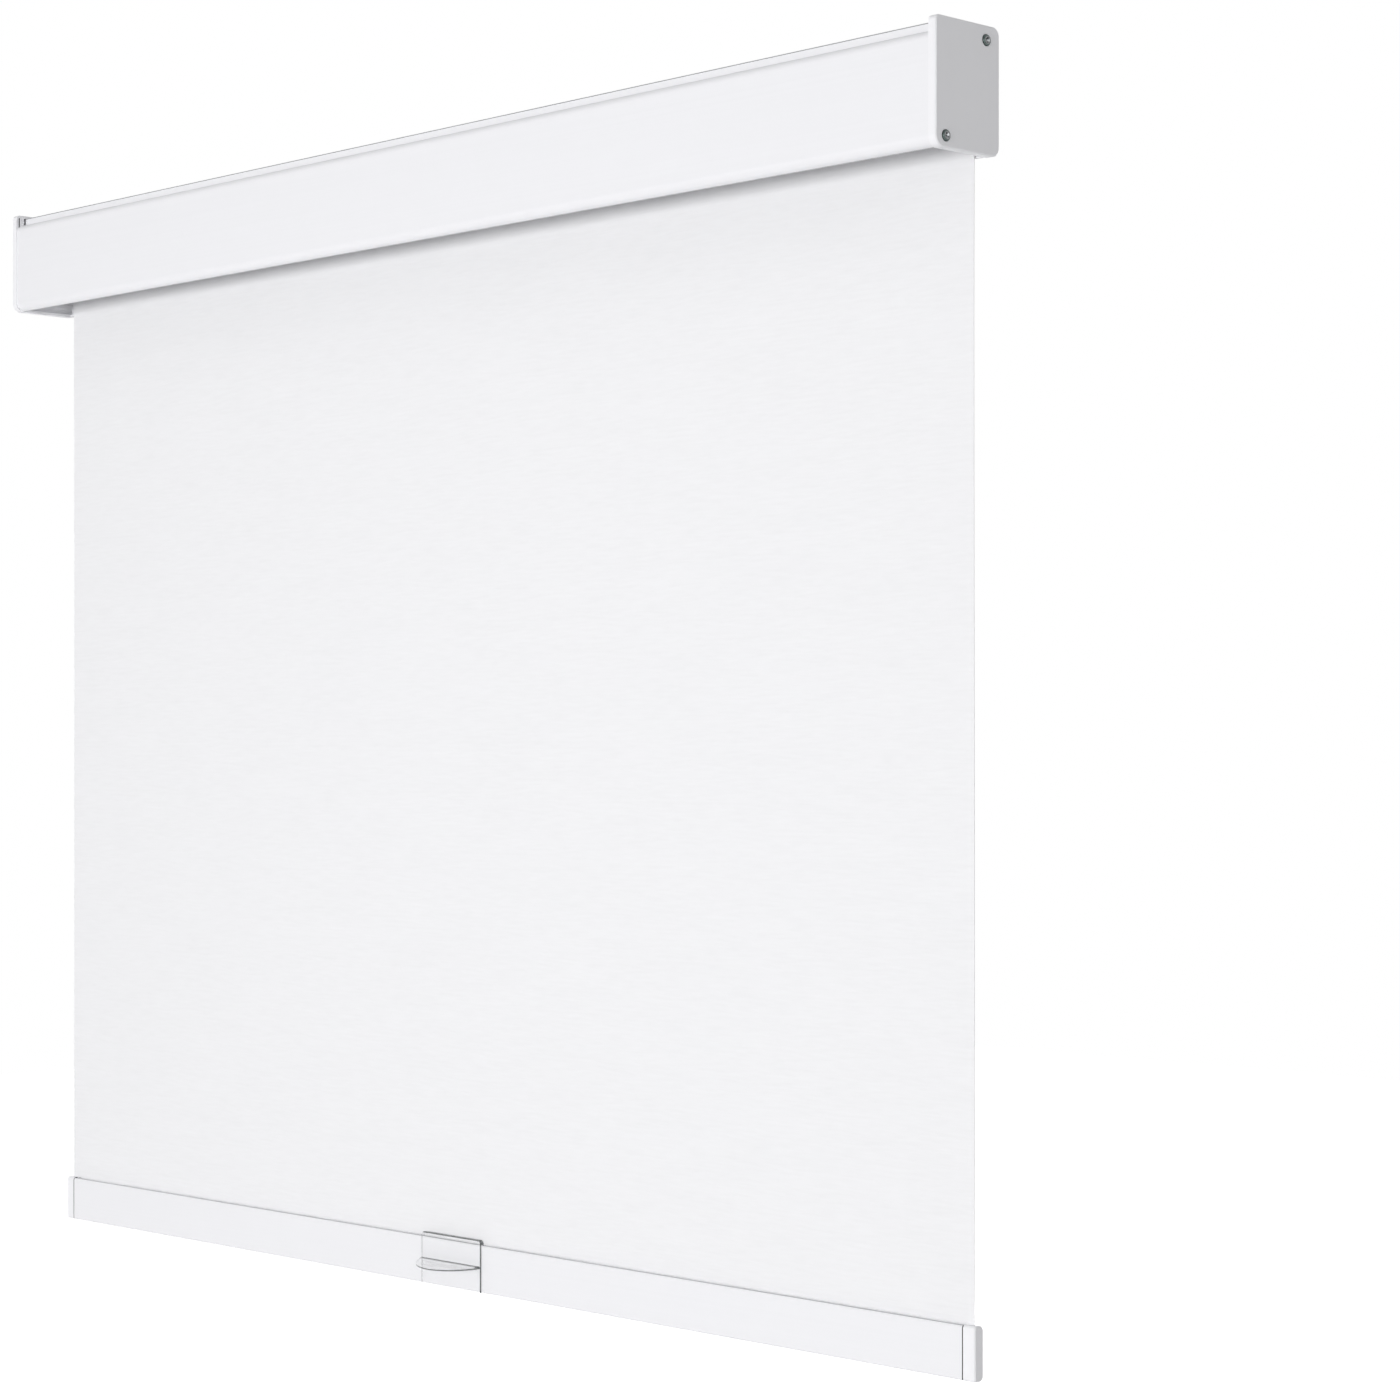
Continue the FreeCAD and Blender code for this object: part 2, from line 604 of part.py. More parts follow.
def fabric_wraps():
    """The turns of cloth on the lowered roller, with the hem that goes down into the groove."""
    x0, x1 = -CLOTH_HALF, CLOTH_HALF
    z = groove_centre()
    turns = rod(x0, x1, ROLLER_Y, ROLLER_Z, WRAP_R)
    turns = turns.cut(rod(x0 - OVERCUT, x1 + OVERCUT, ROLLER_Y, ROLLER_Z, TUBE_R + SPLINE_GAP))
    neck_low = z + GROOVE_R - 2 * CLOTH
    neck = box(x0, x1, ROLLER_Y - CLOTH, ROLLER_Y + CLOTH, neck_low, ROLLER_Z + TUBE_R + CLOTH)
    loop = bar(x0, x1, ROLLER_Y, z, GROOVE_R - SPLINE_GAP, SMALL_SIDES)
    inside = bore(x0 - OVERCUT, x1 + OVERCUT, ROLLER_Y, z, GROOVE_R - 2 * SPLINE_GAP - CLOTH, SMALL_SIDES)
    return joined(turns, neck, loop).cut(inside)


def tube_spline():
    """The cord inside the cloth's top hem."""
    radius = GROOVE_R - 3 * SPLINE_GAP - CLOTH
    return bar(-CLOTH_HALF, CLOTH_HALF, ROLLER_Y, groove_centre(), radius, SMALL_SIDES)


def tube_plug(x0, x1):
    """A plug body that fits the tube's bore and its key."""
    body = bar(x0, x1, ROLLER_Y, ROLLER_Z, TUBE_BORE_R - PLUG_GAP)
    return body.cut(groove_block(x0 - OVERCUT, x1 + OVERCUT, PLUG_GAP))


def drive_plug():
    """The rotating plug at the spring end, with a bearing bore and a pocket for the brake spring."""
    outer = -FLANGE_END
    inner = -TUBE_HALF + DRIVE_LENGTH
    body = joined(tube_plug(-TUBE_HALF, inner), bar(outer, -TUBE_HALF, ROLLER_Y, ROLLER_Z, TUBE_R))
    pocket = -TUBE_HALF + BRAKE_SETBACK
    body = body.cut(bore(outer - OVERCUT, inner + OVERCUT, ROLLER_Y, ROLLER_Z, ARBOR_HUB_R + TURNING_GAP))
    room = (ARBOR_HUB_R + BRAKE_GAP + BRAKE_WIRE) / math.cos(math.pi / COIL_STEPS) + BRAKE_GAP
    return body.cut(bore(pocket, pocket + BRAKE_POCKET, ROLLER_Y, ROLLER_Z, room))


def brake_spring():
    """The wrap spring on the arbor's hub that holds the shade where it is left."""
    x0 = -TUBE_HALF + BRAKE_SETBACK + BRAKE_GAP
    x1 = -TUBE_HALF + BRAKE_SETBACK + BRAKE_POCKET - BRAKE_GAP
    radius = ARBOR_HUB_R + BRAKE_GAP + BRAKE_WIRE / 2
    return coil(x0, x1, ROLLER_Y, ROLLER_Z, radius, BRAKE_WIRE, BRAKE_TURNS)


def arbor_stations():
    """Positions along X of the arbor's hub end, the spring's two ends and the far plug's end."""
    hub_end = -TUBE_HALF + ARBOR_HUB
    spring_end = hub_end + SPRING_LENGTH
    return hub_end, spring_end, spring_end + PLUG_LENGTH


def spring_arbor():
    """The fixed shaft: a flat tang in the bracket, the bearing hub, the spring's seat and a long rod."""
    hub_end, _, plug_end = arbor_stations()
    flange_end = -FLANGE_END - CLOTH_GAP
    rod_end = plug_end + CLIP_THICKNESS + 4 * TURNING_GAP + 3 * CLIP_THICKNESS
    body = joined(
        tang_room(0, -INNER - TANG[2] + ROLLER_PLATE, flange_end - ARBOR_FLANGE),
        bar(flange_end - ARBOR_FLANGE, flange_end, ROLLER_Y, ROLLER_Z, ARBOR_FLANGE_R),
        bar(flange_end, hub_end, ROLLER_Y, ROLLER_Z, ARBOR_HUB_R),
        bar(hub_end, hub_end + SPRING_SEAT, ROLLER_Y, ROLLER_Z, SPRING_SEAT_R),
        bar(hub_end + SPRING_SEAT, rod_end, ROLLER_Y, ROLLER_Z, ARBOR_ROD_R, SMALL_SIDES),
    )
    groove = plug_end + 2 * TURNING_GAP
    groove_end = groove + CLIP_THICKNESS + 2 * TURNING_GAP
    groove_ring = bar(groove, groove_end, ROLLER_Y, ROLLER_Z, ARBOR_ROD_R + OVERCUT)
    groove_ring = groove_ring.cut(bar(groove, groove + 2 * CLIP_THICKNESS, ROLLER_Y, ROLLER_Z, CLIP_GROOVE_R))
    return body.cut(groove_ring)


def torsion_spring():
    """The lifting spring, seated on the arbor's hub at one end and on the far plug at the other."""
    hub_end, spring_end, _ = arbor_stations()
    radius = SPRING_SEAT_R + SPRING_SEAT_GAP + SPRING_WIRE / 2
    return coil(hub_end + SPRING_SEAT_GAP, spring_end - SPRING_SEAT_GAP, ROLLER_Y, ROLLER_Z,
                radius, SPRING_WIRE, SPRING_TURNS)


def spring_plug():
    """The plug, keyed to the tube, that the far end of the lifting spring turns."""
    _, spring_end, plug_end = arbor_stations()
    body = joined(
        tube_plug(spring_end, plug_end),
        bar(spring_end - SPRING_SEAT, spring_end, ROLLER_Y, ROLLER_Z, SPRING_SEAT_R),
    )
    return body.cut(bore(spring_end - SPRING_SEAT - OVERCUT, plug_end + OVERCUT, ROLLER_Y, ROLLER_Z,
                         ARBOR_ROD_R + TURNING_GAP))


def arbor_clip():
    """The open retaining clip in the groove at the rod's end."""
    _, _, plug_end = arbor_stations()
    x0 = plug_end + 3 * TURNING_GAP
    x1 = x0 + CLIP_THICKNESS
    body = bar(x0, x1, ROLLER_Y, ROLLER_Z, CLIP_R)
    body = body.cut(bore(x0 - OVERCUT, x1 + OVERCUT, ROLLER_Y, ROLLER_Z, CLIP_GROOVE_R + TURNING_GAP))
    half = CLIP_GROOVE_R * 0.8
    return body.cut(box(x0 - OVERCUT, x1 + OVERCUT, ROLLER_Y - half, ROLLER_Y + half,
                        ROLLER_Z - 2 * CLIP_R, ROLLER_Z))


def idle_plug():
    """The plug at the idle end, bored for the pin and its spring and open at the back."""
    outer = FLANGE_END
    inner = TUBE_HALF - IDLE_LENGTH
    body = joined(tube_plug(inner, TUBE_HALF), bar(TUBE_HALF, outer, ROLLER_Y, ROLLER_Z, TUBE_R))
    body = body.cut(bore(inner - OVERCUT, outer - IDLE_FRONT, ROLLER_Y, ROLLER_Z, IDLE_BORE_R))
    return body.cut(bore(inner - OVERCUT, outer + OVERCUT, ROLLER_Y, ROLLER_Z, PIN_R + TURNING_GAP))


def idle_plug_cap():
    """The stepped cap that closes the idle plug's bore and backs the pin's spring."""
    inner = TUBE_HALF - IDLE_LENGTH
    body = joined(
        bar(inner - IDLE_CAP, inner, ROLLER_Y, ROLLER_Z, IDLE_BORE_R + 2 * IDLE_CAP),
        bar(inner, inner + IDLE_CAP, ROLLER_Y, ROLLER_Z, IDLE_BORE_R - PLUG_GAP),
    )
    return body.cut(bore(inner - IDLE_CAP - OVERCUT, inner + IDLE_CAP + OVERCUT, ROLLER_Y, ROLLER_Z,
                         PIN_R + TURNING_GAP))


def pin_collar():
    """Positions along X of the two faces of the pin's collar."""
    outer = FLANGE_END - IDLE_FRONT - TURNING_GAP
    return outer - PIN_COLLAR, outer


def idle_pin():
    """The sliding pin that the idle end turns on."""
    collar_back, collar_front = pin_collar()
    tip = INNER + PIN_PAST_BRACKET - TURNING_GAP
    tail = TUBE_HALF - IDLE_LENGTH - IDLE_CAP
    pin = bar(tail, tip, ROLLER_Y, ROLLER_Z, PIN_R)
    pin = pin.makeChamfer(PIN_R * 0.3, edges_at_x(pin, tip))
    return joined(pin, bar(collar_back, collar_front, ROLLER_Y, ROLLER_Z, PIN_COLLAR_R))


def idle_spring():
    """The coil that pushes the idle pin out."""
    collar_back, _ = pin_collar()
    x0 = TUBE_HALF - IDLE_LENGTH + IDLE_CAP + TURNING_GAP
    radius = (PIN_R + IDLE_BORE_R) / 2
    return coil(x0, collar_back - TURNING_GAP, ROLLER_Y, ROLLER_Z, radius, IDLE_WIRE, IDLE_TURNS)


def shade_fabric():
    """The hanging cloth, from the roller to the rail."""
    return box(-CLOTH_HALF, CLOTH_HALF, CLOTH_Y - CLOTH / 2, CLOTH_Y + CLOTH / 2, RAIL_TOP, ROLLER_Z)


def rail_outline(inset, radii):
    """Corners of the rail's outline, drawn in by an inset."""
    return rounded(RAIL_FRONT + inset, RAIL_BACK - inset, RAIL_FOOT + inset, RAIL_TOP - inset, radii)


def rail_hollow(gap):
    """Corners of the rail's lower hollow, drawn in by a gap."""
    inset = RAIL_WALL + gap
    top = RAIL_TOP - RAIL_SLOT_DEPTH - RAIL_BORE_R - RAIL_WEB - gap
    return rounded(RAIL_FRONT + inset, RAIL_BACK - inset, RAIL_FOOT + inset, top, (0, 0, 0, 0))


def bottom_rail():
    """The extruded rail: an open mouth and a keyhole slot for the cloth's hem above, a hollow below."""
    x0, x1 = -RAIL_BODY_END, RAIL_BODY_END
    body = extrusion(rail_outline(0, RAIL_CORNERS), x0, x1)
    mouth = box(x0 - OVERCUT, x1 + OVERCUT, RAIL_FRONT + RAIL_LIP, RAIL_BACK - RAIL_LIP,
                RAIL_TOP - RAIL_MOUTH, RAIL_TOP + OVERCUT)
    half = RAIL_SLOT / 2
    z = RAIL_TOP - RAIL_SLOT_DEPTH
    slot = box(x0 - OVERCUT, x1 + OVERCUT, CLOTH_Y - half, CLOTH_Y + half, z, RAIL_TOP + OVERCUT)
    keyhole = bore(x0 - OVERCUT, x1 + OVERCUT, CLOTH_Y, z, RAIL_BORE_R)
    hollow = extrusion(rail_hollow(0), x0 - OVERCUT, x1 + OVERCUT)
    return body.cut([mouth, slot, keyhole, hollow])


def rail_cap():
    """The right-hand rail end, a shadow gap from the rail, with a slot for the cloth's edge and a plug."""
    skirt = RAIL_BODY_END + RAIL_SEAM
    body = extrusion(rail_outline(0, RAIL_CORNERS), skirt, RAIL_END)
    body = body.makeChamfer(RAIL_CAP_EDGE, edges_at_x(body, RAIL_END))
    body = body.fuse(extrusion(rail_outline(RAIL_WALL, (0, 0, 0, 0)), RAIL_BODY_END, skirt))
    half = CLOTH / 2 + CAP_SLOT_GAP
    floor = RAIL_TOP - RAIL_SLOT_DEPTH - RAIL_BORE_R
    body = body.cut(box(RAIL_BODY_END - OVERCUT, CLOTH_HALF + CAP_SLOT_GAP, CLOTH_Y - half, CLOTH_Y + half,
                        floor, RAIL_TOP + OVERCUT))
    plug = extrusion(rail_hollow(RAIL_PLUG_GAP), RAIL_BODY_END - RAIL_PLUG, RAIL_BODY_END)
    return joined(body, plug)


def rail_spline():
    """The cord inside the cloth's lower hem."""
    return bar(-RAIL_BODY_END, RAIL_BODY_END, CLOTH_Y, RAIL_TOP - RAIL_SLOT_DEPTH, RAIL_SPLINE_R, SMALL_SIDES)


def fabric_hem():
    """The cloth inside the rail: the neck in the slot and the loop round the cord."""
    x0, x1 = -RAIL_BODY_END, RAIL_BODY_END
    z = RAIL_TOP - RAIL_SLOT_DEPTH
    outer = RAIL_SPLINE_R + SPLINE_GAP + CLOTH
    neck = box(x0, x1, CLOTH_Y - CLOTH / 2, CLOTH_Y + CLOTH / 2, z + outer - CLOTH, RAIL_TOP)
    edge = box(x0, CLOTH_HALF, CLOTH_Y - CLOTH / 2, CLOTH_Y + CLOTH / 2, z + outer, RAIL_TOP)
    other = box(-CLOTH_HALF, x0, CLOTH_Y - CLOTH / 2, CLOTH_Y + CLOTH / 2, z + outer, RAIL_TOP)
    loop = bar(x0, x1, CLOTH_Y, z, outer + SPLINE_GAP)
    body = joined(loop, neck, edge, other)
    return body.cut(bore(x0 - OVERCUT, x1 + OVERCUT, CLOTH_Y, z, RAIL_SPLINE_R + SPLINE_GAP))


def grip():
    """The half-moon shelf that fingers pull on."""
    half = PULL_WIDTH / 2
    back = RAIL_FRONT - PULL_WALL
    foot = RAIL_TOP - GRIP_DROP - GRIP_THICKNESS
    tips = V(-half, back, foot), V(half, back, foot)
    arc = Part.Arc(tips[0], V(0, back - GRIP_REACH, foot), tips[1]).toShape()
    root = V(0, PULL_WALL / 2, 0)
    edges = [
        arc,
        Part.LineSegment(tips[1], tips[1] + root).toShape(),
        Part.LineSegment(tips[1] + root, tips[0] + root).toShape(),
        Part.LineSegment(tips[0] + root, tips[0]).toShape(),
    ]
    shelf = Part.Face(Part.Wire(edges)).extrude(V(0, 0, GRIP_THICKNESS))
    rim = [edge for edge in shelf.Edges if isinstance(edge.Curve, Part.Circle)]
    shelf = shelf.makeChamfer(GRIP_EDGE, rim)
    shelf.rotate(V(0, back, foot), V(1, 0, 0), GRIP_TILT)
    return shelf


def pull_handle():
    """The clear clip-on pull: a plate over the rail's face, a hook over its lip and the grip."""
    half = PULL_WIDTH / 2
    plate_back = RAIL_FRONT
    plate_front = plate_back - PULL_WALL
    hook_back = RAIL_FRONT + RAIL_LIP + PULL_HOOK
    top = RAIL_TOP + PULL_RISE
    section = [
        (plate_front, RAIL_FOOT, 0), (plate_front, top, PULL_TOP_R), (hook_back, top, PULL_HOOK_R),
        (hook_back, RAIL_TOP - PULL_HOOK_DEPTH, 0), (hook_back - PULL_HOOK, RAIL_TOP - PULL_HOOK_DEPTH, 0),
        (hook_back - PULL_HOOK, RAIL_TOP, 0), (plate_back, RAIL_TOP, 0), (plate_back, RAIL_FOOT, 0),
    ]
    body = extrusion(section, -half, half)
    for side in (-1, 1):
        corner = V(side * half, 0, top)
        inner = V(side * (half - PULL_CORNER_R), 0, top - PULL_CORNER_R)
        near, far = sorted((corner.x, inner.x))
        block = box(near, far, plate_front - OVERCUT, hook_back + OVERCUT, inner.z, top)
        round_corner = Part.makeCylinder(PULL_CORNER_R, hook_back - plate_front + 2 * OVERCUT,
                                         V(inner.x, plate_front - OVERCUT, inner.z), V(0, 1, 0))
        body = body.cut(block.cut(round_corner))
    return joined(body, grip())


def build():
    """Every node of the shade by name."""
    right_bracket = mount_bracket()
    right_cam = bracket_cam()
    right_rivet = cam_rivet()
    right_rail_cap = rail_cap()
    pin_hole = bore(PLATE_FACE - OVERCUT, INNER + OVERCUT, ROLLER_Y, ROLLER_Z, PIN_R + TURNING_GAP)
    tang_hole = tang_room(TANG_GAP, PLATE_FACE - OVERCUT, INNER + OVERCUT)
    tang_pocket = tang_room(2 * TANG_GAP, INNER - OVERCUT, INNER + TANG[2] - ROLLER_PLATE + TANG_GAP)
    return {
        "headrail": headrail(),
        "front_fascia": front_fascia(),
        "end_cap_left": mirrored(end_cap(tang_pocket)),
        "end_cap_right": end_cap(pin_socket()),
        "end_cap_screws": end_cap_screws(),
        "spring_bracket": mirrored(roller_plate(tang_hole)),
        "idle_bracket": roller_plate(pin_hole),
        "roller_bracket_screws": roller_bracket_screws(),
        "mount_bracket_left": mirrored(right_bracket),
        "mount_bracket_right": right_bracket,
        "bracket_cam_left": mirrored(right_cam),
        "bracket_cam_right": right_cam,
        "cam_rivets": group([mirrored(right_rivet), right_rivet]),
        "spring_arbor": spring_arbor(),
        "torsion_spring": torsion_spring(),
        "arbor_clip": arbor_clip(),
        "drive_plug": drive_plug(),
        "brake_spring": brake_spring(),
        "spring_plug": spring_plug(),
        "roller_tube": roller_tube(),
        "fabric_wraps": fabric_wraps(),
        "tube_spline": tube_spline(),
        "idle_plug": idle_plug(),
        "idle_plug_cap": idle_plug_cap(),
        "idle_pin": idle_pin(),
        "idle_spring": idle_spring(),
        "shade_fabric": shade_fabric(),
        "fabric_hem": fabric_hem(),
        "rail_spline": rail_spline(),
        "bottom_rail": bottom_rail(),
        "rail_cap_left": mirrored(right_rail_cap),
        "rail_cap_right": right_rail_cap,
        "pull_handle": pull_handle(),
    }


def main():
    os.makedirs("parts", exist_ok=True)
    for name, shape in build().items():
        solids = shape.Solids
        if not shape.isValid() or not solids:
            raise ValueError(f"{name} is not a valid solid")
        shape.exportStep(f"parts/{name}.step")
        print(f"{name}: {len(solids)} solid(s), {sum(s.Volume for s in solids) / 1000:.2f} cm3")


main()
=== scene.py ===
"""Looks of the blackout roller shade: cloth, clear pull, screws and finishes, with a stage and a camera."""

import json
import math

import bpy
from bpy.props import FloatProperty, FloatVectorProperty, IntProperty, PointerProperty
from bpy.types import Operator, Panel, PropertyGroup
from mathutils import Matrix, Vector, noise


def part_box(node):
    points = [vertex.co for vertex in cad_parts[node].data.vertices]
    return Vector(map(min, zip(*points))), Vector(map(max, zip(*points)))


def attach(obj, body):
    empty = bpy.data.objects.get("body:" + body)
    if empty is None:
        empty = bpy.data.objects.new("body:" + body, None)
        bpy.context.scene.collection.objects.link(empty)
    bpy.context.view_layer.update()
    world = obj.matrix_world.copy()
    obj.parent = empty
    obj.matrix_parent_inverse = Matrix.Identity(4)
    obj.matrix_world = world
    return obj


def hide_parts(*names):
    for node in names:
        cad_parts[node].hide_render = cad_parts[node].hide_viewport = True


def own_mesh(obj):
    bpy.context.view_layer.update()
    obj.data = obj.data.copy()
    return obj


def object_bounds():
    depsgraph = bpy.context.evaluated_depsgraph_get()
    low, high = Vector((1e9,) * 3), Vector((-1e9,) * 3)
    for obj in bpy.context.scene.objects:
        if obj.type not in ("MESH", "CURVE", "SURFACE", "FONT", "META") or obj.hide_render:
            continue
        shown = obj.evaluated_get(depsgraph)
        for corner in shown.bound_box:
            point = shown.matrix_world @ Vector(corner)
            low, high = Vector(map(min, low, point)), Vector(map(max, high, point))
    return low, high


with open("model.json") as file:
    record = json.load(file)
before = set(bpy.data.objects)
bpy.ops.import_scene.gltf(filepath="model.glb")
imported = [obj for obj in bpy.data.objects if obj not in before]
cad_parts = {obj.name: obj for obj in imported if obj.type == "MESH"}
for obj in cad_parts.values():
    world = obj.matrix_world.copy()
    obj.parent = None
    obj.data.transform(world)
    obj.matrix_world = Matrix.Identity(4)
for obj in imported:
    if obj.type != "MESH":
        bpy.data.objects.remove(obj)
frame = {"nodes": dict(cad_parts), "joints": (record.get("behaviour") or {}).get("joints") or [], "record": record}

bl_info = {
    "name": "Blackout roller shade",
    "version": (1, 0, 0),
    "blender": (4, 5, 0),
    "location": "View3D > Sidebar > Roller shade",
    "description": "Dresses the packed roller shade with cloth, a clear pull, screws and finishes",
    "category": "Object",
}

CAD_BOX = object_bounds()
RECORD = frame["record"]
BODY_OF = {node: body for body, nodes in RECORD["behaviour"]["bodies"].items() for node in nodes}
SLOT_OF = {row["node"]: row["material_slot"] for row in RECORD["subparts"]}
JOINTS = {joint["name"]: joint for joint in frame["joints"]}

ROLLER = Vector(JOINTS["roller_spin"]["pos_m"])
CLOTH_LOW, CLOTH_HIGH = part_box("shade_fabric")
CLOTH_Y = (CLOTH_LOW.y + CLOTH_HIGH.y) / 2
CLOTH_WIDTH = CLOTH_HIGH.x - CLOTH_LOW.x
CLOTH_DROP = CLOTH_HIGH.z - CLOTH_LOW.z
RAIL_LOW, RAIL_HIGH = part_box("bottom_rail")

# Cap screws: their heads, and where the upper and the lower one stand, as (y, z)
HEAD_R = 0.0035
HEAD_HEIGHT = 0.0024
HEAD_ROUNDING = 0.4         # share of a head's radius
SCREWS_LOW, SCREWS_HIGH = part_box("end_cap_screws")
CAP_SCREWS = (
    (SCREWS_HIGH.y - HEAD_R, SCREWS_HIGH.z - HEAD_R),
    (SCREWS_LOW.y + HEAD_R, SCREWS_LOW.z + HEAD_R),
)
SHANK_R = 0.00155
SHANK_LENGTH = 0.0188
SHANK_IN_HEAD = 0.0002

# The cross recess: its blades, how much of each is left at its foot, and the crosses' turns in degrees
BLADE_SPAN = 1.4            # share of a head's radius
BLADE_WIDTH = 0.0016
BLADE_DEPTH = 0.0010
FOOT_SPAN = 0.45
FOOT_WIDTH = 0.8
# Past this share of a head's radius behind its middle, the recess is painted as a glint
GLINT_FROM = 0.1             # share of a head's radius behind its middle
FIRST_CROSS = 24
NEXT_CROSS = 31

# The upright nose of the headrail: its front and its top, and how far below its top front corner a grey line of
# painted shade runs
NOSE_FRONT = -0.0370
NOSE_TOP = -0.0026
PAINTED_SHADE_BAND = 0.0007

# Front side of the rib that fills an end cap in front of the nose
RIB_FRONT = -0.0428

# Rounding of the end caps' and the pull's edges, as multiples of that of the metal ones
CAP_ROUNDING = 2
PULL_ROUNDING = 0.8

# How far above the roller's axis the room over its cloth begins
WRAP_CLEARANCE = 0.021

# The cord in the rail's keyhole: how far its middle lies below the rail's top, and its radius
RAIL_CORD_DROP = 0.0082
RAIL_CORD_R = 0.0023

# Waves of the hanging cloth: how many a metre holds across and down, and where in the noise they lie
WAVES_ACROSS = 5.0
WAVES_DOWN = 1.6
WAVE_SEED = 3.7
HOLD = 6                    # the roller and the rail each hold one part in this many of the drop flat
EDGE_FROM = 0.9             # share of the half width past which the edges wave more
EDGE_GAIN = 1.5

# Cells of each sheet of cloth across and along it, the roller's for a quarter turn
HANGING_CELLS = (150, 90)
WOUND_CELLS = (40, 24)
HEM_CELLS = (60, 40)

# Wound cloth: the share of its thickness that is left under tension, and its gap to the hanging cloth
WOUND_SHARE = 0.9
WOUND_GAP = 0.00005

# The hem: its gap round the cord, the share of a turn it makes, and that of its neck wider than the rail
HEM_GAP = 0.0001
HEM_TURN = 0.9
HEM_WIDE = 0.9

# The open seam between the rail and its ends, and the length of rail beside it that is painted dark as the seam's
# shade
RAIL_SEAM = 0.0004
SHADED_END = 0.0004

# The clear pull stands this far off the rail where it touches it, so that light passes through both faces
AIR_GAP = 0.00005
RAIL_LIP = 0.0012           # thickness of the lip that the pull hooks over
PULL_WALL = 0.0014          # thickness of the pull's plate
# The grip's top is painted darker as shade over this far in front of the plate
GRIP_ROOT_SHADE = 0.0044          # how far in front of the plate the grip bends the light

# The camera, as found from the photograph's perspective
CAMERA_PLACE = (1.8070, -1.5113, -0.4512)
CAMERA_TURN = math.radians(45.67)
SENSOR = 36
LENS = 82.95
CAMERA_SHIFT = 0.0415

# Each lamp: its name, the setting that holds its power, its place, and its width and height
LAMPS = (
    ("front_lamp", "front", (0.1, -3.2, -0.42), (2.8, 0.7)),
    ("top_lamp", "top", (0.1, -1.5, 1.9), (1.2, 1.2)),
    ("side_lamp", "side", (3.2, -0.4, -0.2), (2.0, 2.0)),
    ("rear_lamp", "rear", (-0.8, 3.2, 0.3), (2.4, 2.4)),
    ("far_side_lamp", "side", (-3.2, 0.6, 0.1), (2.0, 2.0)),
)
FLOOR_SIZE = 14
FLOOR_GREY = (0.68, 0.68, 0.68, 1)
WHITE = (1, 1, 1, 1)

# Points closer than MERGE are one, edges sharper than SMOOTH are rounded, and facets within FLAT are joined
MERGE = 2e-5
SMOOTH = math.radians(35)
FLAT = math.radians(0.5)


def linear(code):
    """A colour from its sRGB hex code, as linear red, green, blue and alpha."""
    parts = [int(code[i:i + 2], 16) / 255 for i in (1, 3, 5)]
    return tuple(c / 12.92 if c <= 0.04045 else ((c + 0.055) / 1.055) ** 2.4 for c in parts) + (1.0,)


def colour(name, code, words):
    """A colour property with its default from a hex code."""
    return FloatVectorProperty(name=name, description=words, default=linear(code), subtype="COLOR", size=4,
                               min=0, max=1)


def metres(name, default, low, high, words):
    """A length property in metres."""
    return FloatProperty(name=name, description=words, default=default, min=low, max=high, subtype="DISTANCE",
                         unit="LENGTH", precision=5)


def watts(name, default, words):
    """A lamp's power in watts."""
    return FloatProperty(name=name, description=words, default=default, min=0, subtype="POWER", unit="POWER")


class ShadeColours(PropertyGroup):
    """Colours of the shade's finishes."""

    coat: colour("Coated aluminium", "#F4F4F7", "Powder coat of the cassette and the rail")
    # Grey painted as shade along the nose's top corner and on the fascia's foot, and as a painted highlight on the
    # flat tops of the cap screws
    painted_light_tone: colour("Thin coat", "#9C9EA0", "Corners that the powder coat pulls back from")
    # Grey of bare metal on the sawn ends, also painted as shade inside the cassette and on the rail's top
    bare_and_shade: colour("Bare aluminium", "#9A9C9E", "Metal inside the cassette and on the sawn ends")
    moulding: colour("Mouldings", "#F8F8FB", "End caps and rail ends")
    # Dark grey painted as shade in the rail's seams and in the end caps' slits
    seam_shade: colour("Tongues", "#2E3031", "Glued tongues of the rail ends, seen in their seams")
    # Near-black painted shade in the cross recesses of the cap screws
    recess: colour("Recesses", "#060707", "Oiled cross recesses of the cap screws")
    cloth: colour("Cloth", "#F7F7F9", "Room side of the blackout cloth")
    backing: colour("Backing", "#EFEFEE", "Coated window side of the cloth")
    screw: colour("Cap screws", "#4E5856", "Dark zinc of the cap screws")
    zinc: colour("Steel parts", "#C3C6C8", "Zinc plating of the brackets")
    spring: colour("Springs", "#7C7C7E", "Oiled spring steel")
    nylon: colour("Nylon parts", "#A3A5A8", "Plugs and swivel locks")
    pvc: colour("Cords", "#DAD8D3", "Plastic cords in the hems")
    mill: colour("Roller tube", "#D2D4D6", "Bare aluminium")
    clear: colour("Pull", "#E6EAEA", "Clear pull")
    # Dark grey painted on the pull's edges and the grip's root, as the shade that clear plastic shows there
    rim: colour("Pull's edges", "#484D4E", "Edges of the clear pull, which gather the light")


class ShadeSizes(PropertyGroup):
    """Sizes of what is added to the frame."""

    edge: metres("Edge", 0.0003, 0.00005, 0.001, "Rounding of metal and moulded edges")
    ripple: metres("Ripple", 0.00035, 0, 0.002, "How far the hanging cloth waves")
    cloth: metres("Cloth thickness", 0.0004, 0.0002, 0.001, "Thickness of the cloth")
    slub: metres("Slub spacing", 0.0019, 0.0005, 0.01, "Height of one thick thread")
    slub_length: metres("Slub length", 0.020, 0.002, 0.1, "Length of one thick thread")
    screw_head: metres("Screw head", HEAD_R, 0.002, 0.006, "Radius of a cap screw's head")
    turns: IntProperty(name="Turns", description="Quarter turns of cloth left on the roller", default=7,
                       min=3, max=9)


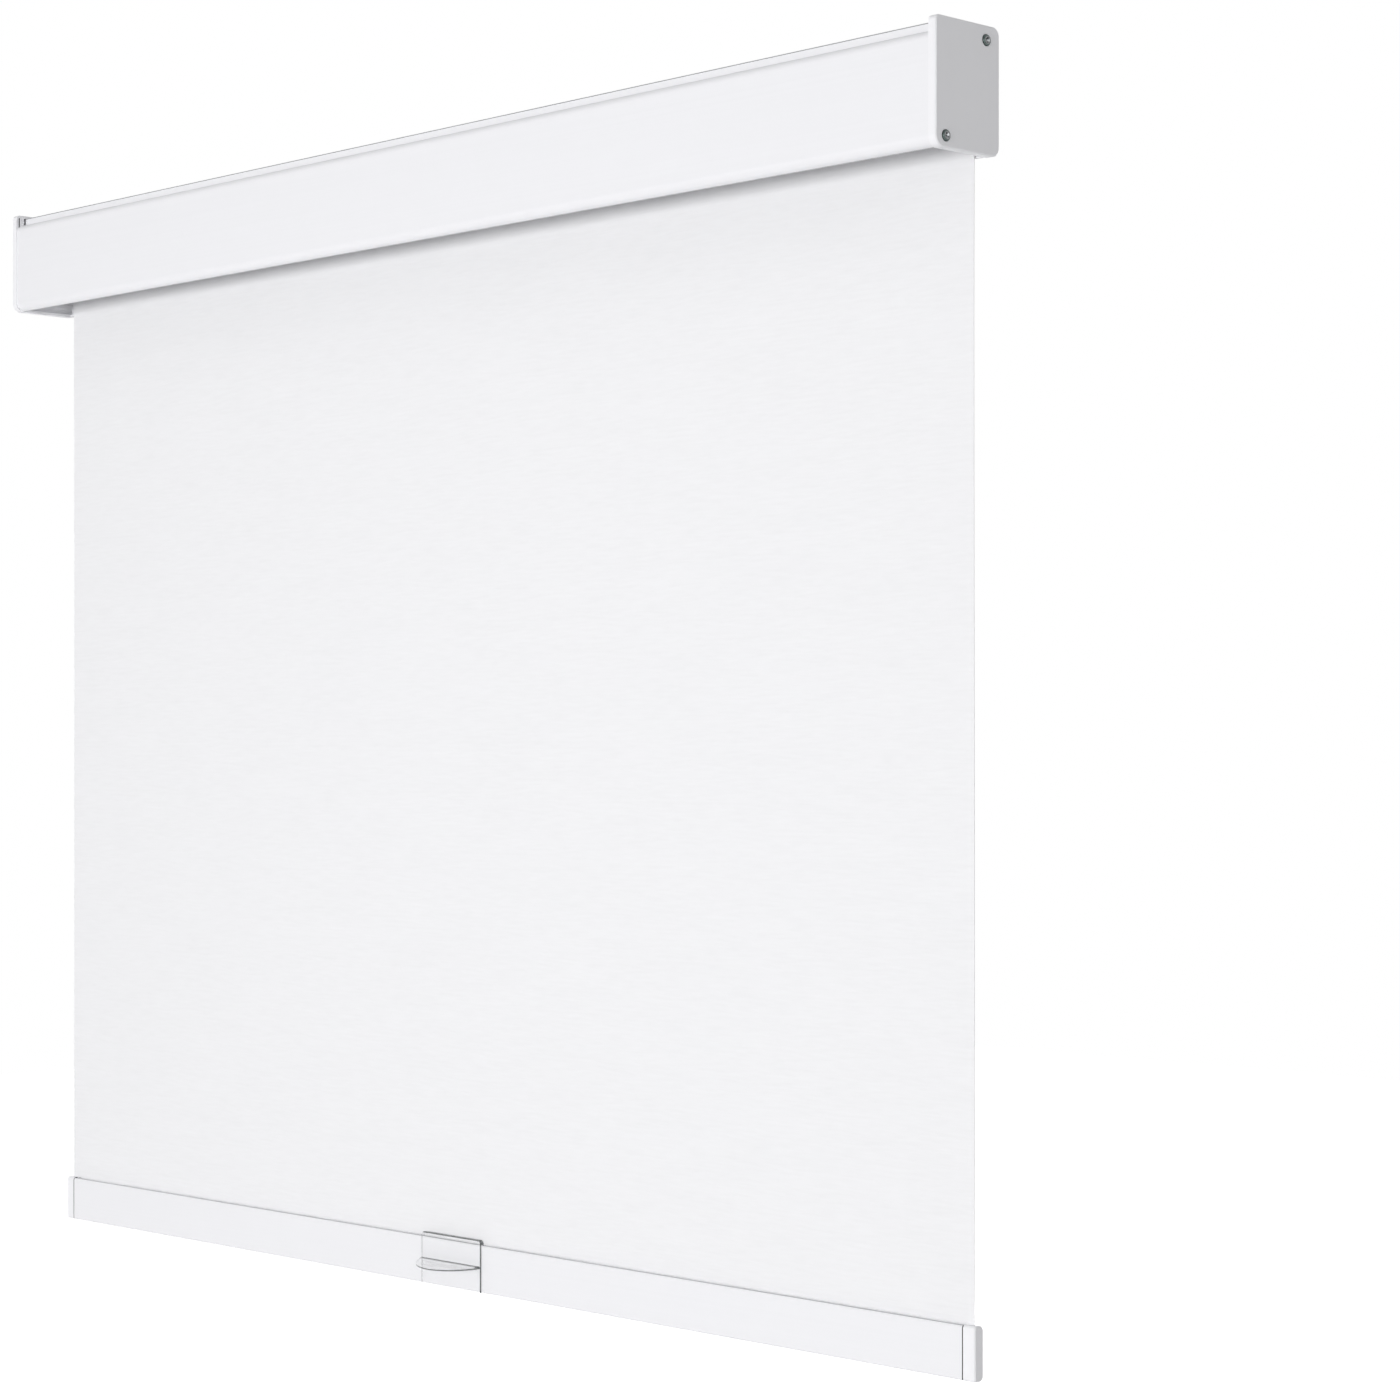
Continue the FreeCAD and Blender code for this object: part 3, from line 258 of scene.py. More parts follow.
class ShadeStage(PropertyGroup):
    """Light levels and the floor of the stage."""

    floor: metres("Floor height", -1.45, -5, 0, "Height of the floor")
    ambient: FloatProperty(name="Ambient", description="Strength of the light from all sides", default=0.27,
                           min=0)
    front: watts("Front lamp", 64.0, "Power of the front lamp")
    top: watts("Top lamp", 3.0, "Power of the top lamp")
    side: watts("Side lamps", 15.5, "Power of each of the two side lamps")
    rear: watts("Rear lamp", 56.0, "Power of the rear lamp")


def add_node(tree, kind, settings=None, links=None):
    """Add a node, set its sockets and properties by name, and link other sockets into it."""
    made = tree.nodes.new(kind)
    for name, value in (settings or {}).items():
        if isinstance(name, int) or name in made.inputs:
            made.inputs[name].default_value = value
        else:
            setattr(made, name, value)
    for name, source in (links or {}).items():
        tree.links.new(source, made.inputs[name])
    return made


def blank_material(name):
    """A new material's node tree, with its shader and the output it feeds."""
    material = bpy.data.materials.new(name)
    material.use_nodes = True
    tree = material.node_tree
    tree.nodes.clear()
    shader = add_node(tree, "ShaderNodeBsdfPrincipled")
    add_node(tree, "ShaderNodeOutputMaterial", links={"Surface": shader.outputs["BSDF"]})
    return material, tree, shader


def grain(tree, period, detail=2.0):
    """Noise on Object coordinates with a grain of the given size in metres along X, Y and Z."""
    place = add_node(tree, "ShaderNodeTexCoord")
    scaled = add_node(tree, "ShaderNodeMapping", {"Scale": [1 / p for p in period]},
                      {"Vector": place.outputs["Object"]})
    return add_node(tree, "ShaderNodeTexNoise", {"Scale": 1.0, "Detail": detail, "Roughness": 0.55},
                    {"Vector": scaled.outputs["Vector"]}).outputs["Fac"]


def shaded(tree, shader, base, height, spread):
    """Vary a base colour by a share either way with a height field."""
    ramp = add_node(tree, "ShaderNodeValToRGB", links={"Fac": height})
    ramp.color_ramp.elements[0].position = 0.3
    ramp.color_ramp.elements[1].position = 0.7
    for element, share in zip(ramp.color_ramp.elements, (1 - spread, 1 + spread)):
        element.color = [min(c * share, 1.0) for c in base[:3]] + [1.0]
    tree.links.new(ramp.outputs["Color"], shader.inputs["Base Color"])


def relief(tree, shader, height, depth, strength=1.0, under=None):
    """Bump a surface by a depth in metres, over another bump if one is given."""
    links = {"Height": height}
    if under is not None:
        links["Normal"] = under
    bump = add_node(tree, "ShaderNodeBump", {"Strength": strength, "Distance": depth}, links)
    tree.links.new(bump.outputs["Normal"], shader.inputs["Normal"])
    return bump.outputs["Normal"]


def coated_aluminium(base, name):
    """Powder-coated extruded aluminium: satin, with a faint orange peel over die lines along its length."""
    material, tree, shader = blank_material(name)
    shader.inputs["Roughness"].default_value = 0.46
    shader.inputs["IOR"].default_value = 1.5
    # Die lines are finer than this on the real profile, and are drawn at 1.5 mm so that they show
    lines = grain(tree, (0.9, 0.0015, 0.0015))
    peel = grain(tree, (0.0016, 0.0016, 0.0016))
    shaded(tree, shader, base, lines, 0.006)
    relief(tree, shader, peel, 0.00003, 0.35, relief(tree, shader, lines, 0.00002, 0.3))
    return material


def bare_aluminium(base):
    """Dull aluminium with saw and die marks: bare on sawn ends, and painted shade where it covers the cassette's
    inside and the rail's top.
    """
    material, tree, shader = blank_material("bare_aluminium")
    shader.inputs["Metallic"].default_value = 0.9
    shader.inputs["Roughness"].default_value = 0.5
    marks = grain(tree, (0.2, 0.0008, 0.0008), 3.0)
    shaded(tree, shader, base, marks, 0.08)
    relief(tree, shader, marks, 0.00002, 0.3)
    return material


def moulded_abs(base, name):
    """Injection-moulded ABS: a fine even spark texture and a soft sheen."""
    material, tree, shader = blank_material(name)
    shader.inputs["Roughness"].default_value = 0.52
    shader.inputs["IOR"].default_value = 1.53
    spark = grain(tree, (0.0009, 0.0009, 0.0009))
    flow = grain(tree, (0.02, 0.02, 0.03))
    shaded(tree, shader, base, flow, 0.006)
    relief(tree, shader, spark, 0.00003, 0.3)
    return material


def slub_cloth(base, sizes):
    """Blackout cloth, woven from uneven thread: long thick threads across it, over a close plain weave."""
    material, tree, shader = blank_material("slub_blackout_cloth")
    shader.inputs["Roughness"].default_value = 0.86
    shader.inputs["IOR"].default_value = 1.45
    shader.inputs["Sheen Weight"].default_value = 0.12
    shader.inputs["Sheen Roughness"].default_value = 0.5
    slubs = grain(tree, (sizes.slub_length, 1.0, sizes.slub), 3.0)
    clouds = grain(tree, (0.09, 1.0, 0.012), 2.0)
    both = add_node(tree, "ShaderNodeMath", {"operation": "MULTIPLY_ADD", 1: 0.45}, {0: clouds, 2: slubs})
    level = add_node(tree, "ShaderNodeMath", {"operation": "MULTIPLY", 1: 0.69}, {0: both.outputs[0]})
    shaded(tree, shader, base, level.outputs[0], 0.022)
    # The threads lie 0.4 mm apart and are drawn at 1.1 mm so that they show
    warp = grain(tree, (0.0011, 1.0, 0.006), 1.0)
    under = relief(tree, shader, warp, 0.00006, 0.35)
    relief(tree, shader, slubs, 0.00022, 0.55, under)
    return material


def coated_backing(base):
    """The cloth's window side: flock-free acrylic foam, smooth and matt."""
    material, tree, shader = blank_material("acrylic_foam_backing")
    shader.inputs["Roughness"].default_value = 0.7
    foam = grain(tree, (0.0012, 1.0, 0.0012))
    shaded(tree, shader, base, grain(tree, (0.12, 1.0, 0.05)), 0.008)
    relief(tree, shader, foam, 0.00004, 0.3)
    return material


def dark_zinc(base):
    """Zinc-plated steel with a dark passivation: fine turned marks, worn brighter in patches."""
    material, tree, shader = blank_material("dark_zinc_steel")
    shader.inputs["Metallic"].default_value = 1.0
    shader.inputs["Roughness"].default_value = 0.3
    wear = grain(tree, (0.0012, 0.0012, 0.0012))
    shaded(tree, shader, base, wear, 0.25)
    relief(tree, shader, grain(tree, (0.01, 0.0003, 0.0003)), 0.00002, 0.4)
    return material


def zinc_steel(base):
    """Zinc-plated sheet steel: cool grey, with a soft crystal mottle and rolling marks."""
    material, tree, shader = blank_material("zinc_plated_steel")
    shader.inputs["Metallic"].default_value = 1.0
    mottle = grain(tree, (0.003, 0.003, 0.003), 3.0)
    shaded(tree, shader, base, mottle, 0.07)
    rough = add_node(tree, "ShaderNodeMapRange", {"To Min": 0.28, "To Max": 0.46}, {"Value": mottle})
    tree.links.new(rough.outputs["Result"], shader.inputs["Roughness"])
    relief(tree, shader, grain(tree, (0.03, 0.0005, 0.0005)), 0.00002, 0.3)
    return material


def spring_steel(base):
    """Oiled spring wire: dark, with drawing marks and a film of oil."""
    material, tree, shader = blank_material("oiled_spring_steel")
    shader.inputs["Metallic"].default_value = 1.0
    shader.inputs["Roughness"].default_value = 0.32
    shader.inputs["Coat Weight"].default_value = 0.3
    shaded(tree, shader, base, grain(tree, (0.002, 0.004, 0.004)), 0.12)
    relief(tree, shader, grain(tree, (0.0004, 0.004, 0.004)), 0.00002, 0.4)
    return material


def moulded_nylon(base):
    """Glass-filled nylon: grey, matt, with faint flow marks and grain."""
    material, tree, shader = blank_material("glass_filled_nylon")
    shader.inputs["Roughness"].default_value = 0.55
    shader.inputs["IOR"].default_value = 1.53
    shaded(tree, shader, base, grain(tree, (0.006, 0.002, 0.002)), 0.05)
    relief(tree, shader, grain(tree, (0.0006, 0.0006, 0.0006)), 0.00003, 0.4)
    return material


def extruded_pvc(base):
    """Soft extruded plastic cord: smooth, with faint lines along it."""
    material, tree, shader = blank_material("extruded_pvc")
    shader.inputs["Roughness"].default_value = 0.38
    lines = grain(tree, (0.05, 0.0004, 0.0004))
    shaded(tree, shader, base, lines, 0.03)
    relief(tree, shader, lines, 0.00002, 0.3)
    return material


def mill_aluminium(base):
    """Bare extruded aluminium: bright, with die lines along the tube."""
    material, tree, shader = blank_material("mill_finish_aluminium")
    shader.inputs["Metallic"].default_value = 1.0
    shader.inputs["Roughness"].default_value = 0.34
    lines = grain(tree, (0.12, 0.0006, 0.0006), 3.0)
    shaded(tree, shader, base, lines, 0.06)
    relief(tree, shader, lines, 0.00003, 0.4)
    return material


def clear_polycarbonate(base, name, cover):
    """Polished clear polycarbonate: glossy, with what lies behind it showing through."""
    material, tree, shader = blank_material(name)
    shader.inputs["Roughness"].default_value = 0.06
    shader.inputs["IOR"].default_value = 1.58
    shader.inputs["Alpha"].default_value = cover
    shaded(tree, shader, base, grain(tree, (0.01, 0.01, 0.01)), 0.02)
    relief(tree, shader, grain(tree, (0.006, 0.006, 0.006)), 0.00002, 0.1)
    return material


def polycarbonate_edge(base):
    """Edges of the clear plastic, painted dark from outside as the shade the plastic shows there, and faint
    through the plastic.
    """
    material = clear_polycarbonate(base, "polycarbonate_edge", 1.0)
    tree = material.node_tree
    side = add_node(tree, "ShaderNodeNewGeometry")
    cover = add_node(tree, "ShaderNodeMapRange", {"To Min": 0.88, "To Max": 0.14},
                     {"Value": side.outputs["Backfacing"]})
    tree.links.new(cover.outputs["Result"], tree.nodes["Principled BSDF"].inputs["Alpha"])
    return material


def polycarbonate_grip(base):
    """The grip's upper side: painted darker at its root, as the shade where the plastic bends the light, and
    faintly clouded.
    """
    material = clear_polycarbonate(base, "polycarbonate_grip", 1.0)
    tree = material.node_tree
    place = add_node(tree, "ShaderNodeTexCoord")
    parts = add_node(tree, "ShaderNodeSeparateXYZ", links={"Vector": place.outputs["Object"]})
    front = RAIL_LOW.y - PULL_WALL
    band = {"From Min": front - GRIP_ROOT_SHADE, "From Max": front - GRIP_ROOT_SHADE / 2, "To Min": 0.0, "To Max": 0.95}
    root = add_node(tree, "ShaderNodeMapRange", band, {"Value": parts.outputs["Y"]})
    haze = {"From Min": 0.35, "From Max": 0.7, "To Min": 0.02, "To Max": 0.16}
    cloud = add_node(tree, "ShaderNodeMapRange", haze, {"Value": grain(tree, (0.007, 0.005, 0.005))})
    cover = add_node(tree, "ShaderNodeMath", {"operation": "MAXIMUM"},
                     {0: root.outputs["Result"], 1: cloud.outputs["Result"]})
    tree.links.new(cover.outputs[0], tree.nodes["Principled BSDF"].inputs["Alpha"])
    return material


def finishes(context):
    """The material of each slot in the record, made once."""
    if "shade_finishes" not in context.scene:
        tones = context.scene.shade_colours
        made = {
            "white_coated_aluminium": coated_aluminium(tones.coat, "powder_coated_aluminium"),
            "painted_light_coat": coated_aluminium(tones.painted_light_tone, "thin_powder_coat"),
            "bare_aluminium": bare_aluminium(tones.bare_and_shade),
            "white_moulding": moulded_abs(tones.moulding, "moulded_abs"),
            "painted_seam_shade": moulded_abs(tones.seam_shade, "glue_darkened_abs"),
            "painted_recess_shade": moulded_abs(tones.recess, "oil_black"),
            "dark_zinc_screw": dark_zinc(tones.screw),
            "zinc_steel": zinc_steel(tones.zinc),
            "spring_steel": spring_steel(tones.spring),
            "grey_nylon": moulded_nylon(tones.nylon),
            "pvc_cord": extruded_pvc(tones.pvc),
            "blackout_cloth": slub_cloth(tones.cloth, context.scene.shade_sizes),
            "mill_aluminium": mill_aluminium(tones.mill),
            "clear_plastic": clear_polycarbonate(tones.clear, "clear_polycarbonate", 0.02),
        }
        context.scene["shade_finishes"] = {slot: material.name for slot, material in made.items()}
    return {slot: bpy.data.materials[name] for slot, name in context.scene["shade_finishes"].items()}


def only(piece):
    """Select one object and make it active."""
    bpy.ops.object.select_all(action="DESELECT")
    piece.select_set(True)
    bpy.context.view_layer.objects.active = piece


def apply_all(piece):
    """Apply the piece's modifiers and its place, so that its object lies at the origin."""
    only(piece)
    for modifier in list(piece.modifiers):
        bpy.ops.object.modifier_apply(modifier=modifier.name)
    bpy.ops.object.transform_apply(location=True, rotation=True, scale=True)


def soften(piece, width):
    """Round the sharp edges, and let the flat faces keep their shading."""
    bevel = piece.modifiers.new("edges", "BEVEL")
    bevel.width = width
    bevel.segments = 2
    bevel.limit_method = "ANGLE"
    bevel.angle_limit = SMOOTH
    bevel.miter_outer = "MITER_ARC"
    apply_all(piece)
    bpy.ops.object.shade_smooth_by_angle(angle=SMOOTH)
    weighted = piece.modifiers.new("normals", "WEIGHTED_NORMAL")
    weighted.keep_sharp = True
    apply_all(piece)


def dress(piece, body, slot, material, *nodes):
    """Give a finished piece its material and its body, and let it stand for CAD nodes. Its slot is not used."""
    piece.data.materials.clear()
    piece.data.materials.append(material)
    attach(piece, body)
    if nodes:
        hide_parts(*nodes)


def refined(context, node, piece_name, edge, convex=False, cuts=()):
    """A copy of a rigid node with its facets merged and its edges rounded, which stands for the node.

    Its faces are made convex if asked, and are split where they cross each of the cuts, a point and a normal.
    """
    piece = bpy.data.objects.new(piece_name, frame["nodes"][node].data.copy())
    context.collection.objects.link(piece)
    only(piece)
    bpy.ops.mesh.customdata_custom_splitnormals_clear()
    bpy.ops.object.mode_set(mode="EDIT")
    bpy.ops.mesh.select_all(action="SELECT")
    bpy.ops.mesh.remove_doubles(threshold=MERGE)
    bpy.ops.mesh.dissolve_limited(angle_limit=FLAT)
    if convex:
        bpy.ops.mesh.vert_connect_concave()
    for point, normal in cuts:
        bpy.ops.mesh.select_all(action="SELECT")
        bpy.ops.mesh.bisect(plane_co=point, plane_no=normal)
    bpy.ops.object.mode_set(mode="OBJECT")
    soften(piece, edge)
    dress(piece, BODY_OF[node], SLOT_OF[node], finishes(context)[SLOT_OF[node]], node)
    return piece


def bare_and_shaded_faces(context, piece, picks):
    """Give a profile's sawn ends bare metal, and paint the faces that picks(face) is true for in the same grey as
    shade.
    """
    piece.data.materials.append(finishes(context)["bare_aluminium"])
    for face in piece.data.polygons:
        face.material_index = 1 if abs(face.normal.x) > 0.9 or picks(face) else 0


def bent_grid(name, cells, thickness, place):
    """A strip of cloth: a grid whose points go where place(x share, length share) says, made thick."""
    bpy.ops.object.select_all(action="DESELECT")
    bpy.ops.mesh.primitive_grid_add(x_subdivisions=cells[0], y_subdivisions=cells[1], size=1)
    piece = bpy.context.object
    piece.name = name
    for vertex in piece.data.vertices:
        vertex.co = place(vertex.co.x + 0.5, vertex.co.y + 0.5)
    bpy.ops.object.mode_set(mode="EDIT")
    bpy.ops.mesh.select_all(action="SELECT")
    bpy.ops.mesh.normals_make_consistent(inside=False)
    bpy.ops.object.mode_set(mode="OBJECT")
    solid = piece.modifiers.new("thickness", "SOLIDIFY")
    solid.thickness = thickness
    solid.offset = 0
    solid.use_even_offset = True
    apply_all(piece)
    bpy.ops.object.shade_smooth_by_angle(angle=SMOOTH)
    return piece


class SHADE_OT_finishes(Operator):
    """Give every solid of the frame its finish"""

    bl_idname = "roller_shade.finishes"
    bl_label = "Finishes"

    def execute(self, context):
        made = finishes(context)
        for node, piece in frame["nodes"].items():
            piece.data.materials.clear()
            piece.data.materials.append(made[SLOT_OF[node]])
        return {"FINISHED"}


class SHADE_OT_cassette(Operator):
    """Round the edges of the headrail and the fascia, with bare metal on their sawn ends, and grey painted shade
    inside, along the nose's top corner and on the fascia's foot
    """

    bl_idname = "roller_shade.cassette"
    bl_label = "Cassette"

    def execute(self, context):
        edge = context.scene.shade_sizes.edge
        below_corner = ((0, 0, NOSE_TOP - PAINTED_SHADE_BAND), (0, 0, 1))
        headrail = refined(context, "headrail", "cassette_headrail", edge, cuts=[below_corner])
        fascia = refined(context, "front_fascia", "cassette_fascia", edge)
        # The headrail's underside over the roller and the fascia's inner faces are painted in the bare grey as
        # shade
        roof = ROLLER.z + WRAP_CLEARANCE
        bare_and_shaded_faces(context, headrail, lambda face: face.normal.z < -0.5 and face.center.z > roof)
        # A grey line of painted shade along the nose's top front corner
        headrail.data.materials.append(finishes(context)["painted_light_coat"])
        for face in headrail.data.polygons:
            if self.at_corner(face):
                face.material_index = 2
        bare_and_shaded_faces(context, fascia, lambda face: face.normal.y > 0.3)
        # Grey painted shade on the downward faces of the fascia's foot
        fascia.data.materials.append(finishes(context)["painted_light_coat"])
        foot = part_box("front_fascia")[0].z
        for face in fascia.data.polygons:
            if face.normal.z < -0.999 and face.center.z < foot + edge:
                face.material_index = 2
        return {"FINISHED"}

    def at_corner(self, face):
        """Whether a face lies in the strip along the top front corner of the nose that is painted grey as shade.
        """
        low, high = NOSE_TOP - PAINTED_SHADE_BAND, NOSE_TOP - MERGE
        return low < face.center.z < high and face.center.y < NOSE_FRONT + PAINTED_SHADE_BAND and face.normal.y < -0.1


class SHADE_OT_end_caps(Operator):
    """Round the edges of the moulded end caps, and paint shade on the front of their ribs in the slit"""

    bl_idname = "roller_shade.end_caps"
    bl_label = "End caps"

    def execute(self, context):
        edge = CAP_ROUNDING * context.scene.shade_sizes.edge
        for side in ("left", "right"):
            cap = refined(context, f"end_cap_{side}", f"cassette_cap_{side}", edge, convex=True)
            cap.data.materials.append(finishes(context)["painted_seam_shade"])
            for face in cap.data.polygons:
                if self.in_slit(face):
                    face.material_index = 1
        return {"FINISHED"}

    def in_slit(self, face):
        """Whether a face is the front side of the rib, which only the slit beside it shows, and which is painted
        dark as the slit's shade.
        """
        return abs(face.center.y - RIB_FRONT) < MERGE and face.normal.y < -0.99


class SHADE_OT_cap_screws(Operator):
    """Drive a pan-head screw with a cross recess into each seat of the end caps"""

    bl_idname = "roller_shade.cap_screws"
    bl_label = "Cap screws"

    def execute(self, context):
        sizes = context.scene.shade_sizes
        head = self.head(sizes.screw_head)
        copies = []
        for side in (-1, 1):
            for y, z in CAP_SCREWS:
                seat = side * (SCREWS_HIGH.x - HEAD_HEIGHT)
                screw = head.copy()
                screw.data = head.data.copy()
                context.collection.objects.link(screw)
                screw.rotation_mode = "ZYX"
                turn = math.radians(FIRST_CROSS + NEXT_CROSS * len(copies))
                screw.rotation_euler = (0, side * math.pi / 2, turn)
                screw.location = (seat, y, z)
                apply_all(screw)
                copies.append(screw)
        bpy.data.objects.remove(head)
        only(copies[0])
        for screw in copies:
            screw.select_set(True)
        bpy.ops.object.join()
        screws = context.object
        screws.name = "cap_screws"
        slot = SLOT_OF["end_cap_screws"]
        dress(screws, "cassette", slot, finishes(context)[slot], "end_cap_screws")
        # Each screw's top takes grey as a painted highlight; in each recess the rear side takes zinc as a painted
        # glint and the rest near-black as painted shade
        for name in ("zinc_steel", "painted_recess_shade", "painted_light_coat"):
            screws.data.materials.append(finishes(context)[name])
        for face in screws.data.polygons:
            face.material_index = self.part_of(face, sizes.screw_head)
        return {"FINISHED"}

    def part_of(self, face, radius):
        """Which material a face takes: 0 rim and shank, 1 the rear side of the recess, zinc as a painted glint, 2
        its rest, near-black as painted shade, 3 the top, grey as a painted highlight.
        """
        below = SCREWS_HIGH.x - abs(face.center.x)
        if below < MERGE:
            return 3
        offsets = [(face.center.y - y, face.center.z - z) for y, z in CAP_SCREWS]
        off = min(offsets, key=lambda gap: math.hypot(*gap))
        if below >= HEAD_HEIGHT or math.hypot(*off) > BLADE_SPAN / 2 * radius:
            return 0
        return 1 if off[0] > GLINT_FROM * radius else 2

    def head(self, radius):
        """One screw's head and shank along Z, its seat at the origin."""
        bpy.ops.object.select_all(action="DESELECT")
        bpy.ops.mesh.primitive_cylinder_add(vertices=48, radius=radius, depth=HEAD_HEIGHT,
                                            location=(0, 0, HEAD_HEIGHT / 2))
        head = bpy.context.object
        bpy.ops.object.transform_apply(location=True, rotation=True, scale=True)
        self.bevel_rim(head, HEAD_ROUNDING * radius)
        for angle in (0, math.pi / 2):
            self.cut_slot(head, radius, angle)
        bpy.ops.object.select_all(action="DESELECT")
        bpy.ops.mesh.primitive_cylinder_add(vertices=24, radius=SHANK_R, depth=SHANK_LENGTH,
                                            location=(0, 0, SHANK_IN_HEAD - SHANK_LENGTH / 2))
        shank = bpy.context.object
        only(head)
        shank.select_set(True)
        bpy.ops.object.join()
        only(head)
        bpy.ops.object.shade_smooth_by_angle(angle=SMOOTH)
        return head

    def bevel_rim(self, head, width):
        """Round the head's top rim."""
        only(head)
        bpy.ops.object.mode_set(mode="EDIT")
        bpy.ops.mesh.select_all(action="DESELECT")
        bpy.ops.object.mode_set(mode="OBJECT")
        for edge in head.data.edges:
            ends = [head.data.vertices[i].co.z for i in edge.vertices]
            edge.select = min(ends) > HEAD_HEIGHT - MERGE
        bpy.ops.object.mode_set(mode="EDIT")
        bpy.ops.mesh.select_mode(type="EDGE")
        bpy.ops.mesh.bevel(offset=width, segments=6, profile=0.6)
        bpy.ops.object.mode_set(mode="OBJECT")

    def cut_slot(self, head, radius, angle):
        """Cut one blade of the cross recess, narrower at its foot."""
        bpy.ops.object.select_all(action="DESELECT")
        bpy.ops.mesh.primitive_cube_add(size=1, location=(0, 0, HEAD_HEIGHT), rotation=(0, 0, angle),
                                        scale=(BLADE_SPAN * radius, BLADE_WIDTH, 2 * BLADE_DEPTH))
        blade = bpy.context.object
        for vertex in blade.data.vertices:
            if vertex.co.z < 0:
                vertex.co.x *= FOOT_SPAN
                vertex.co.y *= FOOT_WIDTH
        cut = head.modifiers.new("recess", "BOOLEAN")
        cut.object = blade
        cut.solver = "EXACT"
        only(head)
        bpy.ops.object.modifier_apply(modifier=cut.name)
        bpy.data.objects.remove(blade)


class SHADE_OT_fixings(Operator):
    """Round the edges of the mount brackets and their swivel locks"""

    bl_idname = "roller_shade.fixings"
    bl_label = "Fixings"

    def execute(self, context):
        edge = context.scene.shade_sizes.edge
        for side in ("left", "right"):
            refined(context, f"mount_bracket_{side}", f"ceiling_bracket_{side}", edge)
            refined(context, f"bracket_cam_{side}", f"swivel_lock_{side}", edge)
        return {"FINISHED"}


class SHADE_OT_idle_spring(Operator):
    """Stand a merged, smooth copy of the idle pin's coil spring in for its node"""

    bl_idname = "roller_shade.idle_spring"
    bl_label = "Idle spring"

    def execute(self, context):
        spring = bpy.data.objects.new("pin_spring", frame["nodes"]["idle_spring"].data.copy())
        context.collection.objects.link(spring)
        only(spring)
        bpy.ops.object.mode_set(mode="EDIT")
        bpy.ops.mesh.select_all(action="SELECT")
        bpy.ops.mesh.remove_doubles(threshold=MERGE)
        bpy.ops.object.mode_set(mode="OBJECT")
        bpy.ops.object.shade_smooth_by_angle(angle=SMOOTH)
        slot = SLOT_OF["idle_spring"]
        dress(spring, BODY_OF["idle_spring"], slot, finishes(context)[slot], "idle_spring")
        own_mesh(spring)
        return {"FINISHED"}


class SHADE_OT_hanging_cloth(Operator):
    """Hang the cloth from the roller to the rail"""

    bl_idname = "roller_shade.hanging_cloth"
    bl_label = "Hanging cloth"

    def execute(self, context):
        sizes = context.scene.shade_sizes

        def place(across, along):
            x = CLOTH_LOW.x + CLOTH_WIDTH * across
            z = CLOTH_LOW.z + CLOTH_DROP * along
            held = min(1.0, HOLD * along, HOLD * (1 - along))
            edge = 1 + EDGE_GAIN * max(0.0, abs(2 * across - 1) - EDGE_FROM) / (1 - EDGE_FROM)
            wave = noise.noise(Vector((x * WAVES_ACROSS, z * WAVES_DOWN, WAVE_SEED)))
            return Vector((x, CLOTH_Y + sizes.ripple * held * edge * wave, z))

        cloth = bent_grid("hanging_cloth", HANGING_CELLS, sizes.cloth, place)
        backing = coated_backing(context.scene.shade_colours.backing)
        slot = SLOT_OF["shade_fabric"]
        dress(cloth, "cassette", slot, finishes(context)[slot], "shade_fabric")
        cloth.data.materials.append(backing)
        for face in cloth.data.polygons:
            face.material_index = 1 if face.normal.y > 0.5 else 0
        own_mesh(cloth)
        return {"FINISHED"}


class SHADE_OT_wound_cloth(Operator):
    """Wind the last turns of cloth on the roller"""

    bl_idname = "roller_shade.wound_cloth"
    bl_label = "Wound cloth"

    def execute(self, context):
        sizes = context.scene.shade_sizes
        thickness = WOUND_SHARE * sizes.cloth
        tube_low, tube_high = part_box("roller_tube")
        inner = (tube_high.z - tube_low.z) / 2 + sizes.cloth / 2
        outer = CLOTH_Y - sizes.cloth - ROLLER.y - WOUND_GAP
        sweep = sizes.turns * math.pi / 2

        def place(across, along):
            angle = sweep * along
            radius = outer + (inner - outer) * along
            return Vector((CLOTH_LOW.x + CLOTH_WIDTH * across, ROLLER.y + radius * math.cos(angle),
                           ROLLER.z + radius * math.sin(angle)))

        across, quarter = WOUND_CELLS
        cloth = bent_grid("wound_cloth", (across, quarter * sizes.turns), thickness, place)
        slot = SLOT_OF["fabric_wraps"]
        dress(cloth, "roller", slot, finishes(context)[slot], "fabric_wraps")
        return {"FINISHED"}


class SHADE_OT_cloth_hem(Operator):
    """Fold the cloth's hem round its cord inside the rail"""

    bl_idname = "roller_shade.cloth_hem"
    bl_label = "Cloth hem"

    def execute(self, context):
        sizes = context.scene.shade_sizes
        cord = RAIL_HIGH.z - RAIL_CORD_DROP
        radius = RAIL_CORD_R + HEM_GAP + sizes.cloth / 2
        neck = RAIL_CORD_DROP - radius
        loop = 2 * math.pi * radius * HEM_TURN
        length = neck + loop

        def place(across, along):
            run = length * along
            if run < HEM_WIDE * neck:
                return Vector((CLOTH_LOW.x + CLOTH_WIDTH * across, CLOTH_Y, RAIL_HIGH.z - run))
            x = RAIL_LOW.x + (RAIL_HIGH.x - RAIL_LOW.x) * across
            if run < neck:
                return Vector((x, CLOTH_Y, RAIL_HIGH.z - run))
            angle = math.pi / 2 - (run - neck) / radius
            return Vector((x, CLOTH_Y + radius * math.cos(angle), cord + radius * math.sin(angle)))

        hem = bent_grid("cloth_hem", HEM_CELLS, sizes.cloth, place)
        slot = SLOT_OF["fabric_hem"]
        dress(hem, "bottom_rail", slot, finishes(context)[slot], "fabric_hem")
        return {"FINISHED"}


